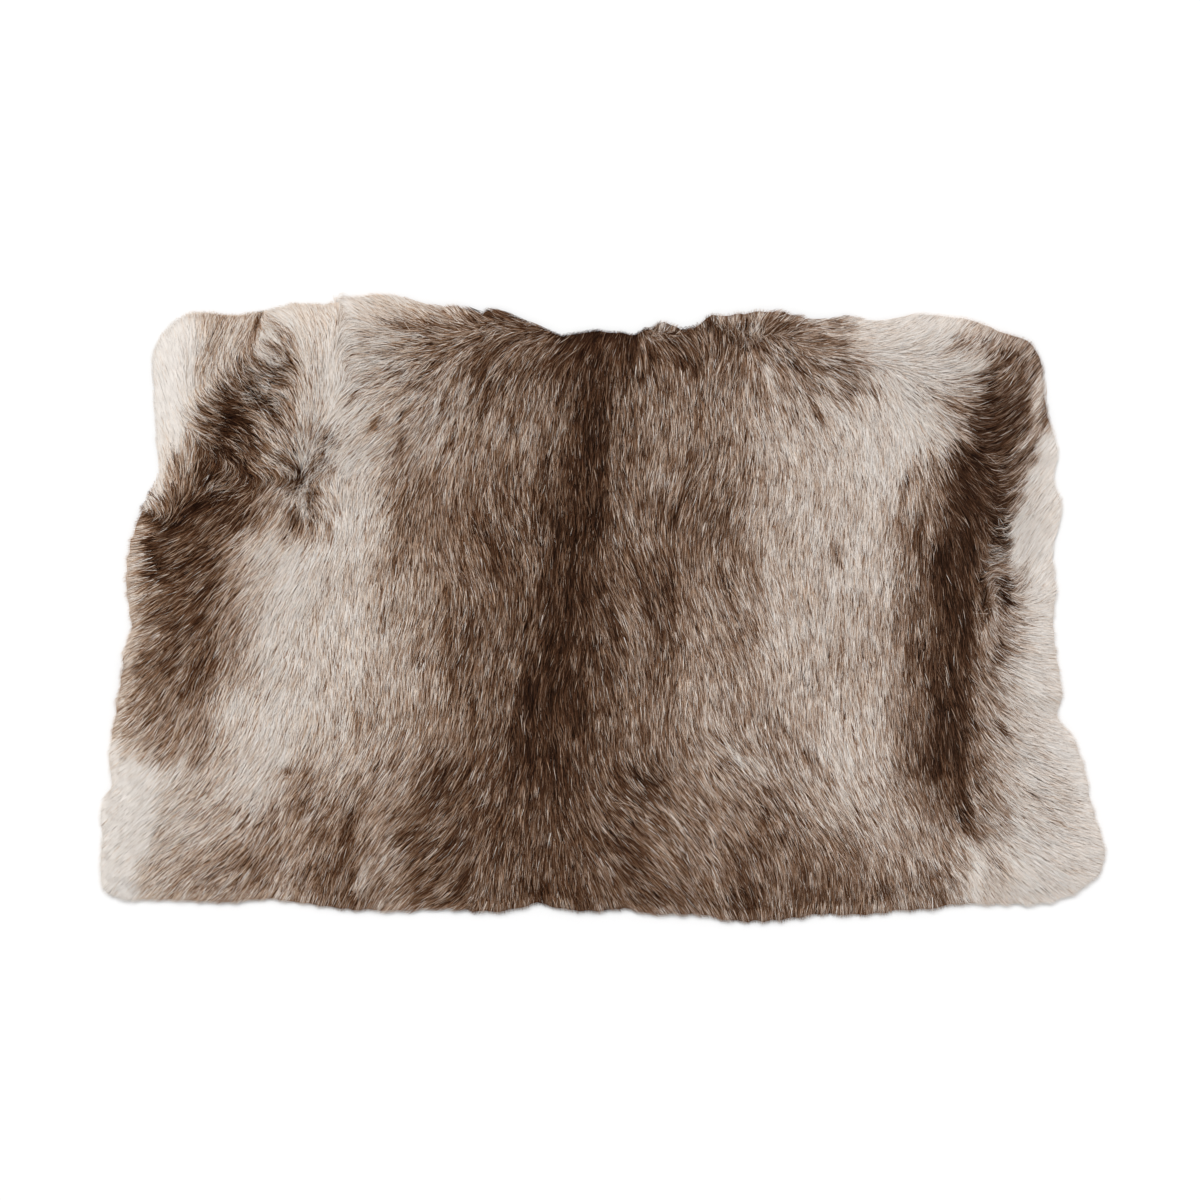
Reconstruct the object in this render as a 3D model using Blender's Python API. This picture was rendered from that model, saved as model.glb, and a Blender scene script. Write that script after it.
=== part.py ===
"""A reindeer hide with its hair on, lying flat, fur side up.

The skin is trimmed to a rough trapezoid, narrow at the neck and broad at the rump. It is one closed
solid: a level underside that lies on the surface, and over it the coat, as a lumpy slab. The coat is
deepest along the back, thins towards the rim, sinks where the hair parts or the skin is creased, and
ends in a rim of tapered locks that rest level on the surface.

Metres, +Z up. +X runs across the back from flank to flank and +Y towards the neck. The origin is the
middle of the underside's bounding box.
"""

from collections import namedtuple
import math
import random

import bpy
import numpy as np
from mathutils import Vector, noise
from mathutils.geometry import delaunay_2d_cdt

# Driving sizes
HIDE_SPAN = 1.108        # across the rump end, flank to flank
HIDE_LENGTH = 0.694      # neck end to rump end
PILE = 0.021             # depth of skin and coat over the ribs
SPINE_RISE = 0.005       # what the thick coat along the spine adds to that
SPINE_SPREAD = 0.16      # how far from the spine that rise reaches
RIM_DEPTH = 0.0035       # depth of skin and hair at the very rim
NECK_FALL = 0.062        # how far in from the neck's rim the coat reaches its full depth
RUMP_FALL = 0.038        # the same at the rump, where the hair lies out over the rim
ROUNDNESS = 0.55         # share of that rise that follows a quarter round, the rest a soft step
LEAST_DEPTH = 0.003      # the coat is nowhere thinner than this

# Locks at the rim
LOCK_WIDTHS = (0.018, 0.032)
LOCK_SIZES = (0.6, 1.0)  # share of the reach that a lock's tip has
LOCK_LEAN = 0.14         # how far a lock's tip may lean to one side, as a share of its width
LOCK_FLANK = 0.53        # a lock's flanks: this far from groove to tip, and this share of the tip's reach
LOCK_RIDGE = 0.0030      # how much a lock's back stands over the groove beside it
LOCK_ROOT = 0.030        # how far in from the rim the grooves between the locks fade out
LOCK_END = 0.006         # the grooves also fade over the locks' last stretch
UNDERCUT = 0.0012        # the underside ends this far inside the locks' tips

# Lumps of the coat: long soft swells that fan out from a point beyond the neck
FAN_CENTRE_ALONG = 0.60
LUMP_WIDTH = 0.048
LUMP_LENGTH = 0.130
LUMP_HEIGHT = 0.0055

# Mesh spacing
OUTLINE_STEP = 0.002     # along the smooth outline, before the locks are cut into it
RIM_RINGS = (0.009, 0.019)
RING_SHARE = 0.72        # a ring's point nearer to the rim than this share of its inset is left out
FIELD_STEP = 0.0163      # between the points of the coat's field
FIELD_MARGIN = 0.027     # the field starts this far in from the rim
CREASE_STEP = 0.011      # between the points along the bottom of a crease
CREASE_CLEAR = 0.0075    # field points keep this far from a crease's own points
LEAST_GAP = 0.0035       # between any two points inside the rim
UNDERSIDE_STEP = 0.09    # between the points of the flat underside

SEED = 7
COAT_COLOUR = (0.33, 0.25, 0.19, 1.0)

# One row for each turn of the outline, clockwise from the neck end's left corner, in metres from
# the middle of the hide: across the back, along it, and how far the locks reach out there.
Turn = namedtuple("Turn", "across along reach")

NECK_EDGE = (
    Turn(-0.481, 0.310, 0.001), Turn(-0.462, 0.325, 0.001), Turn(-0.400, 0.325, 0.001),
    Turn(-0.368, 0.327, 0.001), Turn(-0.335, 0.336, 0.002), Turn(-0.305, 0.336, 0.002),
    Turn(-0.268, 0.346, 0.002), Turn(-0.235, 0.347, 0.002), Turn(-0.192, 0.332, 0.002),
    Turn(-0.166, 0.336, 0.001), Turn(-0.148, 0.331, 0.001), Turn(-0.139, 0.321, 0.000),
    Turn(-0.131, 0.331, 0.000), Turn(-0.112, 0.328, 0.001), Turn(-0.075, 0.313, 0.001),
    Turn(-0.040, 0.303, 0.002), Turn(-0.015, 0.308, 0.002), Turn(0.040, 0.305, 0.003),
    Turn(0.070, 0.317, 0.003), Turn(0.095, 0.307, 0.003), Turn(0.112, 0.321, 0.004),
    Turn(0.145, 0.326, 0.003), Turn(0.196, 0.329, 0.003), Turn(0.243, 0.317, 0.002),
    Turn(0.270, 0.323, 0.001), Turn(0.305, 0.316, 0.001), Turn(0.348, 0.326, 0.001),
    Turn(0.392, 0.322, 0.001), Turn(0.436, 0.306, 0.001), Turn(0.469, 0.294, 0.001),
)
RIGHT_FLANK = (
    Turn(0.484, 0.268, 0.001), Turn(0.485, 0.240, 0.001), Turn(0.492, 0.207, 0.001),
    Turn(0.501, 0.177, 0.001), Turn(0.496, 0.147, 0.001), Turn(0.505, 0.118, 0.002),
    Turn(0.497, 0.070, 0.002), Turn(0.501, 0.020, 0.002), Turn(0.497, -0.010, 0.002),
    Turn(0.501, -0.060, 0.002), Turn(0.506, -0.098, 0.002), Turn(0.501, -0.120, 0.001),
    Turn(0.517, -0.142, 0.002), Turn(0.530, -0.175, 0.003), Turn(0.536, -0.208, 0.003),
    Turn(0.545, -0.240, 0.003), Turn(0.553, -0.270, 0.002), Turn(0.548, -0.292, 0.002),
    Turn(0.533, -0.307, 0.002),
)
RUMP_EDGE = (
    Turn(0.495, -0.324, 0.003), Turn(0.440, -0.328, 0.003), Turn(0.388, -0.329, 0.002),
    Turn(0.357, -0.334, 0.003), Turn(0.316, -0.335, 0.003), Turn(0.290, -0.340, 0.003),
    Turn(0.229, -0.339, 0.004), Turn(0.200, -0.346, 0.003), Turn(0.150, -0.346, 0.003),
    Turn(0.108, -0.340, 0.003), Turn(0.068, -0.338, 0.003), Turn(0.031, -0.332, 0.003),
    Turn(0.005, -0.336, 0.002), Turn(-0.038, -0.335, 0.002), Turn(-0.072, -0.327, 0.002),
    Turn(-0.098, -0.335, 0.003), Turn(-0.180, -0.333, 0.003), Turn(-0.255, -0.335, 0.003),
    Turn(-0.320, -0.329, 0.003), Turn(-0.368, -0.323, 0.002), Turn(-0.417, -0.326, 0.003),
    Turn(-0.490, -0.323, 0.002), Turn(-0.530, -0.322, 0.001), Turn(-0.549, -0.310, 0.001),
)
LEFT_FLANK = (
    Turn(-0.553, -0.288, 0.001), Turn(-0.550, -0.255, 0.002), Turn(-0.552, -0.217, 0.001),
    Turn(-0.542, -0.202, 0.001), Turn(-0.545, -0.169, 0.002), Turn(-0.539, -0.130, 0.003),
    Turn(-0.532, -0.078, 0.003), Turn(-0.528, -0.046, 0.003), Turn(-0.521, -0.024, 0.003),
    Turn(-0.525, 0.018, 0.003), Turn(-0.523, 0.062, 0.003), Turn(-0.514, 0.092, 0.003),
    Turn(-0.500, 0.128, 0.002), Turn(-0.489, 0.148, 0.001), Turn(-0.491, 0.190, 0.001),
    Turn(-0.494, 0.245, 0.001), Turn(-0.494, 0.288, 0.001),
)

# Creases of the skin and partings of the hair: straight troughs, or ridges where the rise is up
Crease = namedtuple("Crease", "across_a along_a across_b along_b rise spread")

CREASES = (
    # fold of the left shoulder: its crest, then the trough behind it
    Crease(-0.374, 0.312, -0.396, 0.238, 0.007, 0.016),
    Crease(-0.396, 0.238, -0.428, 0.176, 0.006, 0.016),
    Crease(-0.350, 0.268, -0.386, 0.206, -0.007, 0.015),
    Crease(-0.386, 0.206, -0.416, 0.164, -0.008, 0.013),
    Crease(-0.370, 0.226, -0.300, 0.196, 0.003, 0.022),
    # crease where the left foreleg was cut off
    Crease(-0.486, 0.088, -0.438, 0.114, -0.008, 0.012),
    Crease(-0.438, 0.114, -0.388, 0.122, -0.007, 0.012),
    # pit and short partings behind it
    Crease(-0.336, 0.142, -0.330, 0.128, -0.008, 0.014),
    Crease(-0.310, 0.176, -0.296, 0.106, -0.005, 0.013),
    Crease(-0.322, 0.092, -0.300, 0.070, -0.005, 0.013),
    # partings beside the neck's whorl
    Crease(-0.176, 0.300, -0.128, 0.312, -0.005, 0.014),
    Crease(-0.222, 0.190, -0.218, 0.168, -0.004, 0.011),
    # parting under the mane's tuft, right of the neck
    Crease(0.106, 0.300, 0.186, 0.292, -0.006, 0.014),
    Crease(0.186, 0.292, 0.284, 0.238, -0.007, 0.015),
    # crease of the right flank
    Crease(0.420, 0.232, 0.440, 0.150, -0.006, 0.018),
    Crease(0.440, 0.150, 0.446, 0.070, -0.007, 0.015),
    Crease(0.446, 0.070, 0.438, -0.040, -0.007, 0.014),
    Crease(0.438, -0.040, 0.440, -0.110, -0.003, 0.018),
)


def clear_scene():
    """Remove every object of the scene."""
    for obj in list(bpy.data.objects):
        bpy.data.objects.remove(obj, do_unlink=True)


# The outline

def arc_lengths(points):
    """Running length of a closed loop of points, from zero to its whole length."""
    legs = np.linalg.norm(np.roll(points, -1, axis=0) - points, axis=1)
    return np.concatenate([[0.0], np.cumsum(legs)])


def smooth_loop(knots, step):
    """Rows `step` apart on a smooth closed curve through the knots.

    Each span between two knots is a cubic whose end slopes are the mean slopes of the two spans that
    meet at the knot, weighted by the other's length. The first two columns are the place; further
    columns, such as the locks' reach, run along as straight blends.
    """
    places = knots[:, :2]
    lengths = arc_lengths(places)
    spans = np.diff(lengths)
    ahead = (np.roll(places, -1, axis=0) - places) / spans[:, None]
    behind = np.roll(ahead, 1, axis=0)
    span_behind = np.roll(spans, 1)
    weight = (spans / (spans + span_behind))[:, None]
    slopes = behind * weight + ahead * (1.0 - weight)
    rows = []
    for index, span in enumerate(spans):
        following = (index + 1) % len(knots)
        count = max(2, int(round(span / step)))
        t = np.linspace(0.0, 1.0, count, endpoint=False)[:, None]
        curve = ((2 * t**3 - 3 * t**2 + 1) * places[index] + (t**3 - 2 * t**2 + t) * span * slopes[index]
                 + (3 * t**2 - 2 * t**3) * places[following] + (t**3 - t**2) * span * slopes[following])
        extra = (1.0 - t) * knots[index, 2:] + t * knots[following, 2:]
        rows.append(np.hstack([curve, extra]))
    return np.vstack(rows)


def lock_phases(length, chance):
    """Distances along the rim and shares of the reach, four to a lock: groove, flank, tip, flank.

    Widths are drawn at random and stretched so that the locks close up around the rim.
    """
    widths = []
    while sum(widths) < length:
        widths.append(chance.uniform(*LOCK_WIDTHS))
    stretch = length / sum(widths)
    rows = []
    start = 0.0
    for width in (one * stretch for one in widths):
        tip = 0.5 + chance.uniform(-LOCK_LEAN, LOCK_LEAN)
        size = chance.uniform(*LOCK_SIZES)
        rows.append((start, 0.0))
        rows.append((start + width * tip * LOCK_FLANK, LOCK_FLANK * size))
        rows.append((start + width * tip, size))
        rows.append((start + width * (1.0 - (1.0 - tip) * LOCK_FLANK), LOCK_FLANK * size))
        start += width
    return np.array(rows)


def locked_rim(chance):
    """The rim's points, and beside each its share of a lock's reach: zero in a groove, up to one on a tip."""
    knots = np.array(NECK_EDGE + RIGHT_FLANK + RUMP_EDGE + LEFT_FLANK)
    loop = smooth_loop(knots, OUTLINE_STEP)
    lengths = arc_lengths(loop[:, :2])
    closed = np.vstack([loop, loop[:1]])
    phases = lock_phases(lengths[-1], chance)
    rim = np.column_stack([np.interp(phases[:, 0], lengths, column) for column in closed.T])
    tangents = np.roll(rim[:, :2], -1, axis=0) - np.roll(rim[:, :2], 1, axis=0)
    tangents /= np.linalg.norm(tangents, axis=1)[:, None]
    outward = np.column_stack([-tangents[:, 1], tangents[:, 0]])
    shares = phases[:, 1]
    places = rim[:, :2] + outward * (rim[:, 2] * shares)[:, None]
    return fitted(places), shares


def fitted(places):
    """The points, moved and stretched a little so that their bounding box is exactly the hide's."""
    low, high = places.min(axis=0), places.max(axis=0)
    return (places - (low + high) / 2) * (np.array([HIDE_SPAN, HIDE_LENGTH]) / (high - low))


# The coat's depth

def nearest_on_rim(points, rim):
    """For each point, its distance to the rim's polygon, and the leg and share of leg it is nearest to."""
    starts = rim
    legs = np.roll(rim, -1, axis=0) - rim
    squares = (legs**2).sum(axis=1)
    best = np.full(len(points), np.inf)
    leg_index = np.zeros(len(points), dtype=int)
    leg_share = np.zeros(len(points))
    for index, (start, leg, square) in enumerate(zip(starts, legs, squares)):
        share = np.clip(((points - start) @ leg) / square, 0.0, 1.0)
        distance = np.linalg.norm(points - start - share[:, None] * leg, axis=1)
        closer = distance < best
        best[closer] = distance[closer]
        leg_index[closer] = index
        leg_share[closer] = share[closer]
    return best, leg_index, leg_share


def inside_rim(points, rim):
    """True for each point inside the rim's polygon, by counting the legs crossed to its right."""
    inside = np.zeros(len(points), dtype=bool)
    for start, end in zip(rim, np.roll(rim, -1, axis=0)):
        spans = (start[1] > points[:, 1]) != (end[1] > points[:, 1])
        if start[1] != end[1]:
            crossing = start[0] + (points[:, 1] - start[1]) * (end[0] - start[0]) / (end[1] - start[1])
            inside ^= spans & (points[:, 0] < crossing)
    return inside


def soft_step(x):
    """Zero below 0, one above 1, and a smooth rise between."""
    x = np.clip(x, 0.0, 1.0)
    return x * x * (3.0 - 2.0 * x)


def crease_rise(points):
    """What the creases and partings add to the coat: for each, its rise times a bell of the distance."""
    total = np.zeros(len(points))
    for crease in CREASES:
        start = np.array([crease.across_a, crease.along_a])
        leg = np.array([crease.across_b, crease.along_b]) - start
        share = np.clip(((points - start) @ leg) / (leg @ leg), 0.0, 1.0)
        distance = np.linalg.norm(points - start - share[:, None] * leg, axis=1)
        bell = crease.rise * np.exp(-(distance / crease.spread)**2)
        # creases that meet end to end share their joint instead of doubling it
        stronger = np.abs(bell) > np.abs(total)
        same_way = np.sign(bell) == np.sign(total)
        total = np.where(same_way, np.where(stronger, bell, total), total + bell)
    return total


def lump_rise(points):
    """Long soft swells: smooth noise, stretched along the rays of a fan from beyond the neck."""
    across = points[:, 0]
    down = FAN_CENTRE_ALONG - points[:, 1]
    ray = np.arctan2(across, down) * FAN_CENTRE_ALONG / LUMP_WIDTH
    reach = np.hypot(across, down) / LUMP_LENGTH
    swells = [noise.noise((a, b, 0.0)) + 0.5 * noise.noise((2 * a, 2 * b, 5.0)) for a, b in zip(ray, reach)]
    return LUMP_HEIGHT * np.array(swells)


def coat_depth(points, rim, shares):
    """Depth of skin and coat over each point of the plan.

    It rises from the rim to the full pile, is deepest along the spine, and carries the lumps, the
    creases and, near the rim, the backs of the locks. The rise is slow at the neck, where the hair
    lies inwards, and quick at the rump, where it lies out over the rim.
    """
    distance, leg_index, leg_share = nearest_on_rim(points, rim)
    lock = shares[leg_index] * (1.0 - leg_share) + np.roll(shares, -1)[leg_index] * leg_share
    spine = SPINE_RISE * np.exp(-(points[:, 0] / SPINE_SPREAD)**2)
    towards_neck = soft_step(points[:, 1] / HIDE_LENGTH + 0.5)
    rise = soft_step(distance / (RUMP_FALL + (NECK_FALL - RUMP_FALL) * towards_neck))
    # a quarter-round shoulder: steep at the rim, then easing into the flat of the back
    round_rise = np.sqrt(np.clip(2 * rise - rise**2, 0.0, 1.0))
    shoulder = ROUNDNESS * round_rise + (1.0 - ROUNDNESS) * rise
    depth = RIM_DEPTH + (PILE + spine - RIM_DEPTH) * shoulder
    depth += (lump_rise(points) + crease_rise(points)) * rise
    fade = np.exp(-(distance / LOCK_ROOT)**2) * soft_step(distance / LOCK_END)
    depth += LOCK_RIDGE * (lock - 0.5) * fade
    return np.maximum(depth, LEAST_DEPTH)


# The solid

def drawn_in(rim, inset):
    """The rim's points, each moved straight in by the inset."""
    tangents = np.roll(rim, -1, axis=0) - np.roll(rim, 1, axis=0)
    tangents /= np.linalg.norm(tangents, axis=1)[:, None]
    return rim + np.column_stack([tangents[:, 1], -tangents[:, 0]]) * inset


def ring_points(rim, inset, skip):
    """Every `skip`-th rim point drawn in by the inset, without those that come too near another stretch."""
    ring = drawn_in(rim, inset)[::skip]
    distance = nearest_on_rim(ring, rim)[0]
    return ring[inside_rim(ring, rim) & (distance > RING_SHARE * inset)]


def crease_points():
    """Points along the bottom of each crease, so that the mesh has edges there."""
    rows = []
    for crease in CREASES:
        start = np.array([crease.across_a, crease.along_a])
        end = np.array([crease.across_b, crease.along_b])
        count = max(2, int(np.linalg.norm(end - start) / CREASE_STEP))
        for share in (np.arange(count) + 0.5) / count:
            rows.append(start + share * (end - start))
    return np.array(rows)


def hexagonal_field(step):
    """Points of a hexagonal grid over the hide's bounding box."""
    columns = np.arange(-HIDE_SPAN / 2, HIDE_SPAN / 2, step)
    rows = np.arange(-HIDE_LENGTH / 2, HIDE_LENGTH / 2, step * math.sqrt(0.75))
    x, y = np.meshgrid(columns, rows)
    x[1::2] += step / 2
    return np.column_stack([x.ravel(), y.ravel()])


def apart(points, others, clearance):
    """The points that keep the clearance from all the others."""
    gaps = np.linalg.norm(points[:, None, :] - others[None, :, :], axis=2)
    return points[gaps.min(axis=1) > clearance]


def spread_out(points, clearance):
    """The points in order, without those nearer than the clearance to one already kept."""
    kept = []
    for point in points:
        if all((point[0] - one[0])**2 + (point[1] - one[1])**2 > clearance**2 for one in kept):
            kept.append(point)
    return np.array(kept)


def triangles_inside(loop, others):
    """Points and triangles of the loop's inside, which also passes through the other points."""
    count = len(loop)
    points = [Vector(point) for point in np.vstack([loop, others])]
    edges = [(index, (index + 1) % count) for index in range(count)]
    result = delaunay_2d_cdt(points, edges, [], 1, 1e-7, False)
    plan = np.array([list(point) for point in result[0]])
    faces = np.array([list(face) for face in result[2]])
    return plan, faces[inside_rim(plan[faces].mean(axis=1), loop)].tolist()


def top_plan(rim):
    """The coat's points in plan, besides the rim's own: two rings, the creases and the open field."""
    rings = np.vstack([ring_points(rim, RIM_RINGS[0], 1), ring_points(rim, RIM_RINGS[1], 2)])
    creases = crease_points()
    creases = creases[nearest_on_rim(creases, rim)[0] > RIM_RINGS[1] + CREASE_CLEAR]
    field = hexagonal_field(FIELD_STEP)
    field = field[inside_rim(field, rim)]
    field = field[nearest_on_rim(field, rim)[0] > FIELD_MARGIN]
    field = apart(field, creases, CREASE_CLEAR)
    return spread_out(np.vstack([creases, rings, field]), LEAST_GAP)


def bottom_plan(loop):
    """A few points on the underside, so that its triangles stay well shaped."""
    field = hexagonal_field(UNDERSIDE_STEP)
    field = field[inside_rim(field, loop)]
    return field[nearest_on_rim(field, loop)[0] > UNDERSIDE_STEP / 3]


def hide_mesh():
    """Coat, rim and underside joined into one closed mesh."""
    rim, shares = locked_rim(random.Random(SEED))
    count = len(rim)
    top, top_faces = triangles_inside(rim, top_plan(rim))
    under = drawn_in(rim, UNDERCUT)
    bottom, bottom_faces = triangles_inside(under, bottom_plan(under))
    heights = coat_depth(top, rim, shares)
    offset = len(top)
    points = [(x, y, z) for (x, y), z in zip(top, heights)]
    points += [(x, y, 0.0) for x, y in bottom]
    faces = [oriented(face, top, up=True) for face in top_faces]
    faces += [[offset + index for index in oriented(face, bottom, up=False)] for face in bottom_faces]
    for index in range(count):
        following = (index + 1) % count
        faces.append([index, following, offset + following])
        faces.append([index, offset + following, offset + index])
    mesh = bpy.data.meshes.new("hide")
    mesh.from_pydata(points, [], faces)
    mesh.validate()
    return mesh


def oriented(face, plan, up):
    """The triangle's corners in the order that makes it face up, or down."""
    a, b, c = (plan[index] for index in face)
    turn = (b[0] - a[0]) * (c[1] - a[1]) - (b[1] - a[1]) * (c[0] - a[0])
    return face if (turn > 0) == up else face[::-1]


# The material and the object

def coat_material():
    """Warm taupe hair, matt."""
    material = bpy.data.materials.new("reindeer_coat")
    material.use_nodes = True
    shader = material.node_tree.nodes["Principled BSDF"]
    shader.inputs["Base Color"].default_value = COAT_COLOUR
    shader.inputs["Roughness"].default_value = 0.85
    shader.inputs["Metallic"].default_value = 0.0
    material.diffuse_color = COAT_COLOUR
    return material


def build_hide():
    """The hide, one object, lying on z = 0."""
    mesh = hide_mesh()
    mesh.shade_smooth()
    mesh.set_sharp_from_angle(angle=math.radians(50))
    mesh.materials.append(coat_material())
    hide = bpy.data.objects.new("hide", mesh)
    bpy.context.scene.collection.objects.link(hide)
    return hide


def main():
    clear_scene()
    build_hide()


main()
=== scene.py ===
"""A reindeer hide lying flat, fur side up: a tanned skin, its woolly underfur and a combed coat.

Run as a script inside Blender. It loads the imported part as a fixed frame, builds the hide's finer
pieces over it and sets them on a plain studio floor. Metres, +Z up, +Y towards the hide's neck.
"""

from collections import namedtuple
from functools import lru_cache
import math
from types import SimpleNamespace

import bpy
import numpy as np
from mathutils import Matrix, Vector
from mathutils.bvhtree import BVHTree


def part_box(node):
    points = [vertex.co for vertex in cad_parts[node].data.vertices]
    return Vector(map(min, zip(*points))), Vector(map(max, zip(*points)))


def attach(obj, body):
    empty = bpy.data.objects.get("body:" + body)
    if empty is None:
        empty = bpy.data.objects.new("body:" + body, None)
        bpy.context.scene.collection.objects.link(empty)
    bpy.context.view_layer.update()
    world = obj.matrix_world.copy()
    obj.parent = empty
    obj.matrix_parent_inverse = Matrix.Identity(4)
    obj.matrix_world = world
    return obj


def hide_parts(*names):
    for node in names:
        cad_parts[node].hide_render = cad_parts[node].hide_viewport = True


bl_info = {
    "name": "Reindeer Hide",
    "version": (1, 0, 0),
    "blender": (4, 5, 0),
    "location": "3D View > Sidebar > Hide",
    "description": "Builds a reindeer hide with a combed coat of guard hair over a packed part",
    "category": "Add Mesh",
}

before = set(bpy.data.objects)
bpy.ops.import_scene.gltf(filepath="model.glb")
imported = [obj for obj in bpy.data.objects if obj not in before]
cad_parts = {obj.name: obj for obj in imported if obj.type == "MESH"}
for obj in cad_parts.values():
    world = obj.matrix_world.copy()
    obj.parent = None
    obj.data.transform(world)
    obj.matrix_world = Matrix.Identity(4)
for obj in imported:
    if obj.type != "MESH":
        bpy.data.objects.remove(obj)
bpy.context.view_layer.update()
LOW, HIGH = (np.array(corner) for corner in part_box("hide"))

# The grooming chart. Its units are the photo's pixels, each 1.1 mm on the hide, counted right and
# down from the photo's upper left corner. The hide's neck end is up.
CHART_UNIT = 0.0011
CHART_MIDDLE = (603.5, 608.5)   # the hide's middle
CHART_CAMERA = (600.0, 600.0)   # the photo's middle, which the camera looks down on

# Which way the comb leaves the hair, read from the photo: right and down on the chart, and
# the heading of the tips in degrees, 0 to the right and 90 towards the neck. Each part has the
# reach of a reading.
Combing = namedtuple("Combing", "part reach places")

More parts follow.
